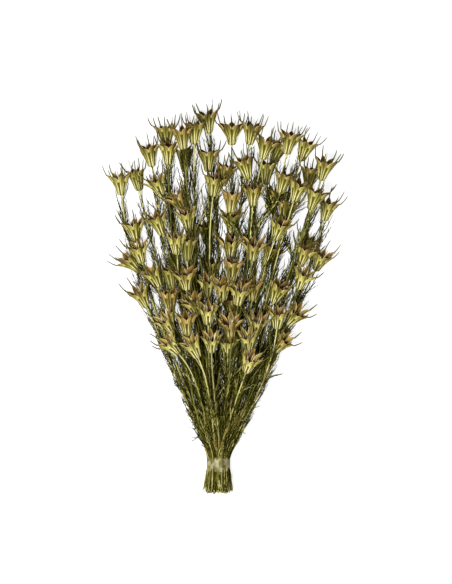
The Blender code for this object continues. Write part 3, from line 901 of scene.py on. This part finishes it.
def add_pressed(heap, limb, chance):
    """Bare leaf threads that run along a main stem through the tie and stick out below it."""
    steps = 12
    aside, up = limb.slot.x, limb.slot.z - TIE_MIDDLE
    outer = math.hypot(aside, up) > OUTER_SLOT
    count = PRESSED_OUTER if outer else PRESSED
    starts = limb.cut + chance.uniform(0, 14, count) * MM
    ends = TIE_LENGTH / 2 + chance.uniform(8, 70, count) * MM
    y = starts[:, None] + (ends - starts)[:, None] * np.linspace(0, 1, steps + 1)[None, :]
    angles = chance.uniform(0, 2 * np.pi, count)[:, None]
    if outer:
        angles = math.atan2(up, aside) + chance.normal(0, 0.8, count)[:, None]
    away = chance.uniform(1.6, 3.4, count)[:, None] * MM
    if outer:
        away += max(0.0, PRESSED_REACH - 2.4 * MM - math.hypot(aside, up))
    x = np.interp(y, limb.line[:, 1], limb.line[:, 0]) + away * np.cos(angles)
    z = np.interp(y, limb.line[:, 1], limb.line[:, 2]) - TIE_MIDDLE + away * np.sin(angles)
    reach = np.hypot(x, z)
    free = np.clip((np.abs(y) - TIE_LENGTH / 2) / (30 * MM), 0, 1)
    splay = 1 + free * chance.uniform(0.0, 0.35 if aside < 0 else 0.12, count)[:, None] * (y < 0)
    most = PRESSED_REACH * (1 + 4 * free)
    scale = splay * np.minimum(1, most / np.maximum(reach * splay, 1e-9))
    lines = np.stack([x * scale, y, z * scale + TIE_MIDDLE], -1)
    lines += chance.normal(0, 1.1, (count, steps + 1, 3)) * free[..., None] * MM
    lines[..., 2] = np.maximum(lines[..., 2], FLOOR_GAP)
    radii = np.full((count, steps + 1), THREAD_WIDTH * 1.4) * np.linspace(1, 0.6, steps + 1)
    points, faces = tubes(lines, radii, 3)
    tone = 0.93 * chance.beta(0.5, 0.5, (count, 1)).repeat(steps + 1, axis=1)
    marks = np.zeros((len(points), 3))
    marks[:, 0] = along_tubes(tone, steps + 1, 3)
    heap.add(points, faces, (0.5, 1, 1), marks)


def rib_profile(rim, notch, splay, tall):
    """Heights and radii of a follicle's mid rib from the foot to its tip, and its free shares."""
    heights = [h * MM for h in JOINED_HEIGHTS] + [notch]
    free = np.array([0.0] * len(heights) + list(FREE_SHARES))
    heights += [heights[-1] + (TIP_HEIGHT - heights[-1]) * t for t in FREE_SHARES]
    heights = np.array(heights)
    low = np.interp(heights, np.array(JOINED_HEIGHTS) * MM, np.array(JOINED_RADII) * MM)
    climb = np.clip((heights - 12 * MM) / (POD_HEIGHT - 12 * MM), 0, None)
    radii = low + (rim - low) * np.minimum(climb, 1) ** 1.2
    radii += TIP_FLARE * np.clip((heights - POD_HEIGHT) / (TIP_HEIGHT - POD_HEIGHT), 0, 1)
    radii += splay * 2.2 * MM * free**1.5
    heights = heights + tall * 1.6 * MM * free
    return heights, radii, free


def add_follicle(heap, place, angle, rim, notch_height, tone, fade, chance):
    """One follicle: a thin boat-shaped wall, joined to its neighbours low down, and its beak."""
    splay, tall = chance.normal(0, 0.6), chance.normal(0, 0.6)
    heights, radii, free = rib_profile(rim, notch_height, splay, tall)
    s = np.linspace(-1, 1, ACROSS)
    joined = len(JOINED_HEIGHTS) + 1
    depth = radii * GROOVE_SHARE
    half = (radii - depth) * math.tan(math.pi / FOLLICLES)
    depth[joined:] = np.array(FREE_DEPTHS) * chance.uniform(0.8, 1.15) * MM
    half[joined:] = half[joined - 1] * np.array(FREE_HALVES) * chance.uniform(0.85, 1.1)
    power = GROOVE_POWER + (FOLD_POWER - GROOVE_POWER) * np.clip(free / 0.4, 0, 1)
    dip = np.abs(s)[None, :] ** power[:, None]
    twist = chance.normal(0, 0.9) * MM
    ruffle = chance.normal(0, 0.14, (len(heights), ACROSS)) * MM * (free[:, None] > 0)
    r = radii[:, None] - depth[:, None] * dip + ruffle
    t = half[:, None] * s[None, :] + (twist * free**2)[:, None]
    z = heights[:, None] + 0.0 * s[None, :]
    out, side = np.array([math.cos(angle), math.sin(angle), 0]), np.array([-math.sin(angle), math.cos(angle), 0])
    outer = r[..., None] * out + t[..., None] * side + z[..., None] * np.array([0, 0, 1.0])
    normal = unit(np.cross(np.gradient(outer, axis=1), np.gradient(outer, axis=0)))
    wall = WALL * (1 - 0.35 * free)[:, None, None]
    inner = outer - normal * wall
    rows = len(heights)
    points = np.concatenate([outer.reshape(-1, 3), inner.reshape(-1, 3)])
    k, c = np.meshgrid(np.arange(rows - 1), np.arange(ACROSS - 1), indexing="ij")
    grid = np.stack([k * ACROSS + c, k * ACROSS + c + 1, (k + 1) * ACROSS + c + 1, (k + 1) * ACROSS + c], -1)
    grid = grid.reshape(-1, 4)
    inside = grid[:, ::-1] + rows * ACROSS
    loop = ([(0, c) for c in range(ACROSS - 1)] + [(k, ACROSS - 1) for k in range(rows - 1)]
            + [(rows - 1, c) for c in range(ACROSS - 1, 0, -1)] + [(k, 0) for k in range(rows - 1, 0, -1)])
    rim_points = np.array([k * ACROSS + c for k, c in loop])
    after = np.roll(rim_points, -1)
    strip = np.stack([rim_points + rows * ACROSS, after + rows * ACROSS, after, rim_points], -1)
    level = np.concatenate([z.ravel(), z.ravel()]) / TIP_HEIGHT * 0.75 * fade
    values = np.zeros((len(points), 3))
    values[:, 0] = level
    values[:, 1] = np.concatenate([np.abs(s)[None, :].repeat(rows, axis=0).ravel()] * 2)
    values[rows * ACROSS :, 2] = 1
    own = chance.uniform()
    marks = np.tile((tone, own, 0.0), (len(points), 1))
    marks[:, 2] = np.tile(np.repeat(free, ACROSS), 2)
    heap.add(placed(points, place), [grid, inside, strip], values, marks)
    tip = outer[-1, ACROSS // 2]
    lean = unit(tip - outer[-3, ACROSS // 2])
    end = out * (BEAK_FLARE / BEAK_RISE + 0.12 * splay) + np.array([0, 0, 1.0]) + side * chance.normal(0, 0.14)
    length = BEAK_RISE * chance.uniform(0.86, 1.08)
    line = bent((tip - lean * 1.2 * MM)[None], unit(lean + 0.5 * unit(end))[None], unit(end)[None],
                np.array([length + 1.2 * MM]), BEAK_STEPS)
    line[0, 1:] += chance.normal(0, 0.22, (BEAK_STEPS, 3)) * MM * np.linspace(0.3, 1, BEAK_STEPS)[:, None]
    radii = np.linspace(*BEAK_RADII, BEAK_STEPS + 1)[None]
    points, faces = tubes(line, radii, BEAK_SIDES)
    values = np.zeros((len(points), 3))
    values[:, 0] = along_tubes(np.linspace(0.76, 1, BEAK_STEPS + 1)[None], BEAK_STEPS + 1, BEAK_SIDES)
    heap.add(placed(points, place), faces, values, (tone, own, 1))


def placed(points, place):
    matrix = np.array(place)
    return points @ matrix[:3, :3].T + matrix[:3, 3]


def add_styles(heap, place, tone, chance):
    """The thin pale threads that stand in the mouth of a pod."""
    angles = 2 * np.pi * (np.arange(STYLE_COUNT) + chance.uniform(-0.3, 0.3, STYLE_COUNT)) / STYLE_COUNT
    out = np.stack([np.cos(angles), np.sin(angles), 0 * angles], -1)
    up = np.array([[0.0, 0.0, 1.0]])
    roots = out * STYLE_FOOT + up * THROAT_HEIGHT
    first = unit(up + out * chance.uniform(0.1, 0.4, (STYLE_COUNT, 1)))
    last = unit(up + out * chance.uniform(0.2, 0.9, (STYLE_COUNT, 1)) + chance.normal(0, 0.15, (STYLE_COUNT, 3)))
    lines = bent(roots, first, last, chance.uniform(*STYLE_LENGTHS, STYLE_COUNT), 3)
    radii = np.linspace(*STYLE_RADII, 4)[None].repeat(STYLE_COUNT, axis=0)
    points, faces = tubes(lines, radii, 3)
    values = np.full((len(points), 3), (0.0, 0.0, 2.0))
    values[:, 0] = along_tubes(np.linspace(0, 1, 4)[None].repeat(STYLE_COUNT, axis=0), 4, 3)
    heap.add(placed(points, place), faces, values, (tone, 0.5, 0))


def add_pod(heap, limb, chance):
    """The pod: its neck, its follicles with their beaks, and the floor of its mouth, dark with painted shade."""
    place = Matrix.Translation(limb.base) @ aim(limb.axis, limb.turn)
    tone = ODD_TONES.get((round(limb.x / MM), round(limb.y / MM)), 0.5)
    tone = min(1.0, max(0.0, tone + chance.normal(0, TONE_DRAW)))
    rim = limb.mouth / 2
    deep = share(limb.pitch, 8, 30)
    notch = NOTCHES[0] + (NOTCHES[1] - NOTCHES[0]) * deep + chance.normal(0, 0.8) * MM
    fade = 1 - 0.16 * deep + chance.normal(0, 0.04)
    for i in range(FOLLICLES):
        add_follicle(heap, place, 2 * math.pi * i / FOLLICLES, rim, notch, tone, fade, chance)
    add_styles(heap, place, tone, chance)
    # The neck below the foot, and the floor of the mouth, which takes the painted shade of the pod's hollow.
    for heights, radii, inside in (
        ((-3, -1, 0.2, 0.9), (1.15, 1.5, 2.6, 3.6), 0),
        ((7, 12.4, 12.8, 11.6), (5, 6.4, 5.2, 0.2), 1),
    ):
        line = np.array([[0, 0, h * MM] for h in heights])[None]
        points, faces = tubes(line, np.array(radii)[None] * MM, 12, tip=False)
        values = np.zeros((len(points), 3))
        values[:, 0] = 0.02 if not inside else 0.5
        values[:, 2] = inside
        heap.add(placed(points, place), faces, values, (tone, 0.5, 0))


def hull_reach(slots, angle):
    """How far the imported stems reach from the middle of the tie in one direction."""
    out = np.array([math.cos(angle), math.sin(angle)])
    return max(out[0] * s.x + out[1] * (s.z - TIE_MIDDLE) for s in slots) + STEM_RADIUS


def tape(name, slots, chance, material):
    """One strip of tape wound a turn and a half over the stems, its end left lying on top."""
    steps, rows = 240, 12
    angles = np.linspace(TAPE_START, TAPE_START + TAPE_TURNS * 2 * math.pi, steps + 1)
    wound = (angles - angles[0]) / (2 * math.pi)
    reach = np.array([hull_reach(slots, a) for a in angles])
    under = np.clip((-np.sin(angles) - 0.75) / 0.2, 0, 1)
    reach = TIE_MIDDLE - 0.2 * MM + 0.2 * (reach - reach.mean()) + TAPE_PITCH * (wound - TAPE_TURNS / 2)
    reach = reach * (1 - under) + (TIE_MIDDLE - TAPE_PITCH * (TAPE_TURNS - wound) * 0.8) * under
    waves = chance.normal(0, 1, (4, 3))
    rise = np.linspace(0, 1, rows + 1)
    lump = sum(
        waves[k, 0] * np.sin((k + 2) * angles[None, :] + 5 * waves[k, 1] * rise[:, None] + 3 * waves[k, 2])
        for k in range(4)
    )
    outer = reach[None, :] + 0.1 * MM * lump * (1 - under[None, :])
    outer = outer - 0.35 * MM * np.abs(2 * rise[:, None] - 1) ** 4
    slide = 0.4 * MM * np.sin(3 * angles) + 0.5 * MM * (wound - TAPE_TURNS / 2)
    y = TAPE_MIDDLE + TAPE_LENGTH / 2 * (2 * rise[:, None] - 1) + slide[None, :]
    sheets = []
    for depth in (0.0, TAPE_WALL):
        r = outer - depth
        points = np.stack([r * np.cos(angles)[None, :], y + 0 * r, TIE_MIDDLE + r * np.sin(angles)[None, :]], -1)
        points[..., 2] = np.maximum(points[..., 2], depth)
        sheets.append(points.reshape(-1, 3))
    across = steps + 1
    k, c = np.meshgrid(np.arange(rows), np.arange(steps), indexing="ij")
    grid = np.stack([k * across + c, (k + 1) * across + c, (k + 1) * across + c + 1, k * across + c + 1], -1)
    grid = grid.reshape(-1, 4)
    size = (rows + 1) * across
    loop = [(k, 0) for k in range(rows)] + [(rows, c) for c in range(steps)]
    loop += [(k, steps) for k in range(rows, 0, -1)] + [(0, c) for c in range(steps, 0, -1)]
    edge = np.array([k * across + c for k, c in loop])
    after = np.roll(edge, -1)
    strip = np.stack([edge + size, after + size, after, edge], -1)
    heap = Heap()
    heap.add(np.concatenate(sheets), [grid, grid[:, ::-1] + size, strip], (0, 0, 0), (0.5, 0.5, 0))
    return heap.make(name, material)


class Graph:
    """The nodes of one material, made by short calls that give back their outputs."""

    def __init__(self, name, roughness, gloss=0.5):
        self.material = bpy.data.materials.new(name)
        self.material.use_nodes = True
        self.nodes = self.material.node_tree.nodes
        self.links = self.material.node_tree.links
        self.shader = self.nodes["Principled BSDF"]
        self.shader.inputs["Roughness"].default_value = roughness
        self.shader.inputs["Specular IOR Level"].default_value = gloss

    def feed(self, socket, value):
        if isinstance(value, bpy.types.NodeSocket):
            self.links.new(value, socket)
        elif isinstance(value, tuple) and len(value) == 3 and socket.type == "RGBA":
            socket.default_value = (*value, 1)
        else:
            socket.default_value = value

    def node(self, kind, **settings):
        made = self.nodes.new(kind)
        for key, value in settings.items():
            setattr(made, key, value)
        return made

    def channels(self, label):
        source = self.node("ShaderNodeAttribute", attribute_name=label)
        split = self.node("ShaderNodeSeparateColor")
        self.feed(split.inputs[0], source.outputs["Color"])
        return tuple(split.outputs)[:3]

    def math(self, operation, a, b=0.0):
        made = self.node("ShaderNodeMath", operation=operation)
        self.feed(made.inputs[0], a)
        self.feed(made.inputs[1], b)
        return made.outputs[0]

    def span(self, value, low, high, to_low=0.0, to_high=1.0):
        made = self.node("ShaderNodeMapRange", interpolation_type="SMOOTHSTEP")
        for socket, given in zip(tuple(made.inputs)[:5], (value, low, high, to_low, to_high)):
            self.feed(socket, given)
        return made.outputs[0]

    def mix(self, share_of_b, a, b, blend="MIX"):
        made = self.node("ShaderNodeMix", data_type="RGBA", blend_type=blend)
        self.feed(made.inputs[0], share_of_b)
        self.feed(made.inputs[6], a)
        self.feed(made.inputs[7], b)
        return made.outputs[2]

    def ramp(self, value, stops):
        made = self.node("ShaderNodeValToRGB")
        elements = made.color_ramp.elements
        while len(elements) < len(stops):
            elements.new(0.5)
        for element, (place, colour) in zip(elements, stops):
            element.position = place
            element.color = (*colour, 1)
        self.feed(made.inputs[0], value)
        return made.outputs[0]

    def noise(self, scale, stretch=(1, 1, 1), detail=3.0):
        mapping = self.node("ShaderNodeMapping")
        mapping.inputs["Scale"].default_value = stretch
        self.feed(mapping.inputs["Vector"], self.node("ShaderNodeTexCoord").outputs["Object"])
        made = self.node("ShaderNodeTexNoise")
        made.inputs["Scale"].default_value = scale
        made.inputs["Detail"].default_value = detail
        self.feed(made.inputs["Vector"], mapping.outputs[0])
        return made.outputs[0]

    def finish(self, colour, height, distance, roughness=None):
        self.feed(self.shader.inputs["Base Color"], colour)
        bump = self.node("ShaderNodeBump")
        bump.inputs["Strength"].default_value = 1.0
        bump.inputs["Distance"].default_value = distance
        self.feed(bump.inputs["Height"], height)
        self.feed(self.shader.inputs["Normal"], bump.outputs[0])
        if roughness is not None:
            self.feed(self.shader.inputs["Roughness"], roughness)
        return self.material


POD_STOPS = (
    (0.0, (0.30, 0.29, 0.06)), (0.05, (0.66, 0.62, 0.26)), (0.18, (0.88, 0.82, 0.41)),
    (0.32, (0.70, 0.65, 0.25)), (0.43, (0.46, 0.43, 0.115)), (0.54, (0.28, 0.245, 0.055)),
    (0.65, (0.20, 0.14, 0.030)), (0.74, (0.12, 0.075, 0.020)), (1.0, (0.065, 0.045, 0.015)),
)
GROOVE_COLOUR = (0.085, 0.075, 0.008)
DARK_OLIVE = (0.20, 0.185, 0.045)
PALE_BROWN = (0.31, 0.19, 0.06)
STYLE_COLOUR = (0.80, 0.68, 0.44)
STYLE_TIP = (0.12, 0.075, 0.03)
MARGIN_COLOUR = (0.80, 0.70, 0.33)
INSIDE_GOLD = (0.38, 0.28, 0.065)
INSIDE_RED = (0.27, 0.15, 0.036)
# The brown of the pod's inside, darkened to painted shade for the deep hollows and the floor of the mouth.
HOLLOW_SHADE_BROWN = (0.080, 0.044, 0.010)
STEM_STOPS = ((0.0, (0.17, 0.17, 0.045)), (0.5, (0.37, 0.36, 0.125)), (1.0, (0.52, 0.44, 0.20)))
PALE_NECK = (0.62, 0.59, 0.27)
DARK_NECK = (0.13, 0.125, 0.03)
LEAF_STOPS = ((0.0, (0.020, 0.018, 0.001)), (0.4, (0.060, 0.062, 0.004)), (0.7, (0.150, 0.142, 0.022)),
              (0.88, (0.42, 0.38, 0.15)), (1.0, (0.20, 0.12, 0.04)))


def pod_material():
    """A dried pod: pale ribs, dark grooves, olive towards the mouth, brown tips and beaks, and a brown inside
    darkened by painted shade deep in its hollows.
    """
    graph = Graph("dried_pod", 0.6, 0.22)
    level, edge, inside = graph.channels("form")
    tone, own, free = graph.channels("tone")
    mottle = graph.noise(900, detail=4)
    patch = graph.noise(110, detail=3)
    moved = graph.math("ADD", level, graph.math("MULTIPLY", graph.math("SUBTRACT", patch, 0.5), 0.2))
    moved = graph.math("ADD", moved, graph.math("MULTIPLY", graph.math("SUBTRACT", own, 0.5), 0.08))
    skin = graph.ramp(moved, POD_STOPS)
    skin = graph.mix(graph.span(tone, 0.5, 0.0, 0.0, 0.95), skin, DARK_OLIVE)
    browned = graph.math("MULTIPLY", graph.span(tone, 0.5, 1.0, 0.0, 0.85), graph.span(level, 0.1, 0.45, 0.35, 1.0))
    skin = graph.mix(browned, skin, PALE_BROWN)
    vein = graph.math("SINE", graph.math("MULTIPLY", edge, 31.0))
    vein = graph.math("MULTIPLY", vein, graph.span(free, 0.8, 0.3))
    skin = graph.mix(graph.span(vein, 0.3, 0.95, 0.0, 0.4), skin, GROOVE_COLOUR)
    middle = graph.math("MULTIPLY", graph.span(edge, 0.32, 0.1), graph.span(level, 0.04, 0.16))
    groove = graph.math("MULTIPLY", graph.span(edge, 0.56, 0.8), graph.span(free, 0.16, 0.04))
    margin = graph.math("MULTIPLY", graph.span(edge, 0.72, 0.94), graph.span(free, 0.08, 0.3))
    margin = graph.math("MULTIPLY", margin, graph.span(free, 1.0, 0.8, 0.0, 0.75))
    lines = graph.math("MAXIMUM", graph.math("MULTIPLY", middle, 0.95), groove)
    skin = graph.mix(graph.math("MULTIPLY", lines, 0.97), skin, GROOVE_COLOUR)
    skin = graph.mix(margin, skin, graph.mix(0.35, MARGIN_COLOUR, skin))
    skin = graph.mix(graph.span(mottle, 0.5, 0.75, 0.0, 0.45), skin, graph.mix(0.5, skin, GROOVE_COLOUR))
    wall = graph.mix(graph.span(own, 0.75, 0.25), INSIDE_GOLD, INSIDE_RED)
    # Painted shade: the inside turns dark deep down in the pod and along the hollow of each follicle.
    core = graph.mix(graph.span(free, 0.0, 0.4), HOLLOW_SHADE_BROWN, wall)
    core = graph.mix(graph.span(edge, 0.5, 0.1, 0.0, 0.75), core, HOLLOW_SHADE_BROWN)
    core = graph.mix(graph.math("MULTIPLY", graph.span(own, 0.6, 0.9), graph.span(free, 0.1, 0.5)), core, skin)
    core = graph.mix(margin, core, graph.mix(0.4, MARGIN_COLOUR, core))
    colour = graph.mix(graph.span(inside, 0.3, 0.7, 0.0, 0.92), skin, core)
    style = graph.mix(graph.span(level, 0.35, 0.75), STYLE_COLOUR, STYLE_TIP)
    colour = graph.mix(graph.span(inside, 1.3, 1.7), colour, style)
    height = graph.math("ADD", graph.math("MULTIPLY", vein, 0.3), mottle)
    return graph.finish(colour, height, 0.00025, graph.span(mottle, 0.3, 0.7, 0.5, 0.72))


def green_material():
    """Stems, pale olive with fine lengthwise lines, and the darker thread leaves."""
    graph = Graph("dried_stem_and_leaf", 0.7, 0.1)
    along, leaf, _ = graph.channels("form")
    tone, high, pick = graph.channels("tone")
    lines = graph.noise(1.0, (900, 45, 900), detail=3)
    patch = graph.noise(60, detail=3)
    moved = graph.math("ADD", tone, graph.math("MULTIPLY", graph.math("SUBTRACT", patch, 0.5), 0.6))
    stem = graph.ramp(moved, STEM_STOPS)
    neck = graph.mix(graph.span(pick, 0.3, 0.6), DARK_NECK, PALE_NECK)
    stem = graph.mix(graph.span(along, 0.55, 0.95, 0.0, 0.75), stem, neck)
    stem = graph.mix(graph.span(lines, 0.45, 0.7, 0.0, 0.6), stem, (0.10, 0.09, 0.03))
    stem = graph.mix(graph.span(along, 0.2, 0.12, 0.0, 0.1), stem, (0.07, 0.07, 0.025))
    darker = graph.math("MULTIPLY", graph.math("MULTIPLY", high, leaf), 0.22)
    thread = graph.ramp(graph.math("SUBTRACT", moved, darker), LEAF_STOPS)
    colour = graph.mix(leaf, stem, thread)
    return graph.finish(colour, lines, 0.0003, graph.span(lines, 0.3, 0.7, 0.6, 0.8))


def tape_material():
    """Clear tape, smooth, with faint creases and whitish patches that are partly the tape's own haze and partly
    painted sheen.
    """
    graph = Graph("clear_tape", 0.4, 0.4)
    graph.shader.inputs["Alpha"].default_value = TAPE_ALPHA
    graph.shader.inputs["IOR"].default_value = 1.46
    crease = graph.noise(1.0, (260, 60, 260), detail=4)
    fine = graph.noise(700, detail=2)
    # Whitish patches: partly the tape's own haze, partly painted sheen that stands in for highlights on it.
    haze_and_painted_sheen = graph.math("ADD", graph.noise(120, detail=3), graph.math("MULTIPLY", crease, 0.4))
    colour = graph.mix(graph.span(haze_and_painted_sheen, 0.62, 0.84), (0.27, 0.25, 0.10), (0.68, 0.62, 0.39))
    height = graph.math("ADD", crease, graph.math("MULTIPLY", fine, 0.15))
    return graph.finish(colour, height, 0.0006, graph.span(crease, 0.3, 0.7, 0.34, 0.5))


def floor_material():
    graph = Graph("pale_floor", 0.9)
    cloud = graph.noise(1.4, detail=2)
    colour = graph.mix(graph.span(cloud, 0.3, 0.7), (0.27, 0.27, 0.27), (0.29, 0.29, 0.29))
    graph.shader.inputs["Emission Color"].default_value = (1, 1, 1, 1)
    graph.shader.inputs["Emission Strength"].default_value = FLOOR_GLOW
    return graph.finish(colour, cloud, 0.0001)


def build_floor():
    mesh = bpy.data.meshes.new("floor")
    size = 6.0
    mesh.from_pydata([(-size, -size, 0), (size, -size, 0), (size, size, 0), (-size, size, 0)], [], [(0, 1, 2, 3)])
    mesh.materials.append(floor_material())
    floor = bpy.data.objects.new("floor", mesh)
    bpy.context.scene.collection.objects.link(floor)
    floor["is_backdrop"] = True


def area_light(name, place, target, size, power, colour=(1, 1, 1)):
    data = bpy.data.lights.new(name, "AREA")
    data.shape = "DISK"
    data.size = size
    data.energy = power
    data.color = colour
    light = bpy.data.objects.new(name, data)
    light.location = place
    light.rotation_euler = (Vector(target) - Vector(place)).to_track_quat("-Z", "Y").to_euler()
    light.visible_camera = False
    bpy.context.scene.collection.objects.link(light)


def build_studio():
    world = bpy.data.worlds.new("studio")
    bpy.context.scene.world = world
    world.use_nodes = True
    back = world.node_tree.nodes["Background"]
    back.inputs["Color"].default_value = (1, 1, 1, 1)
    back.inputs["Strength"].default_value = WORLD_STRENGTH
    area_light("key", (-0.5, -0.35, 2.15), (0, 0, 0), 0.7, KEY_POWER)
    area_light("fill", (0.9, -0.2, 2.0), (0, 0, 0), 1.4, FILL_POWER)
    bpy.context.scene.view_settings.view_transform = "Standard"
    bpy.context.scene.view_settings.look = "Medium High Contrast"


def build_camera():
    """The photograph's view, straight down on the lying bunch, with the pods' end up."""
    data = bpy.data.cameras.new("camera")
    data.sensor_fit = "VERTICAL"
    data.sensor_height = SENSOR
    data.lens = SENSOR * CAMERA_HEIGHT / FRAME_HEIGHT
    camera = bpy.data.objects.new("camera", data)
    camera.location = (CENTRE_X, CENTRE_Y, CAMERA_HEIGHT + MIDDLE_HEIGHT)
    bpy.context.scene.collection.objects.link(camera)
    bpy.context.scene.camera = camera


def build_plant(number, plant, greens, edges, pod_look, green_look):
    chance = np.random.default_rng(number)
    pods = Heap()
    for limb in [plant] + plant.shoots:
        add_stem(greens, limb, chance)
        add_leaves(greens, limb, edges, chance)
        add_pod(pods, limb, chance)
    add_pressed(greens, plant, chance)
    node = f"flowering_stem_{number:02d}"
    for piece in (pods.make(node + "_pods", pod_look), greens.make(node + "_greens", green_look)):
        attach(piece, "root")
        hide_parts(node)


def build_tie(plants):
    slots = [plant.slot for plant in plants]
    piece = tape("tie_tape", slots, np.random.default_rng(99), tape_material())
    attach(piece, "root")
    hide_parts("tie")


def main():
    build_camera()
    build_studio()
    build_floor()
    mains, limbs = plan_limbs()
    lay_out(mains, limbs)
    plants = sorted(mains, key=lambda limb: limb.x)
    grow_threads(plants)
    for plant in plants:
        for limb in [plant] + plant.shoots:
            limb.line = fine_route(limb)
    edges = cone_edges(plants)
    pod_look, green_look = pod_material(), green_material()
    heaps = [Heap() for _ in plants]
    add_strays(heaps, plants, edges)
    for number, (plant, greens) in enumerate(zip(plants, heaps), start=1):
        build_plant(number, plant, greens, edges, pod_look, green_look)
    build_tie(plants)


main()

sizes = [[[float(v) for v in corner] for corner in box] for box in (CAD_BOUNDS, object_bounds())]
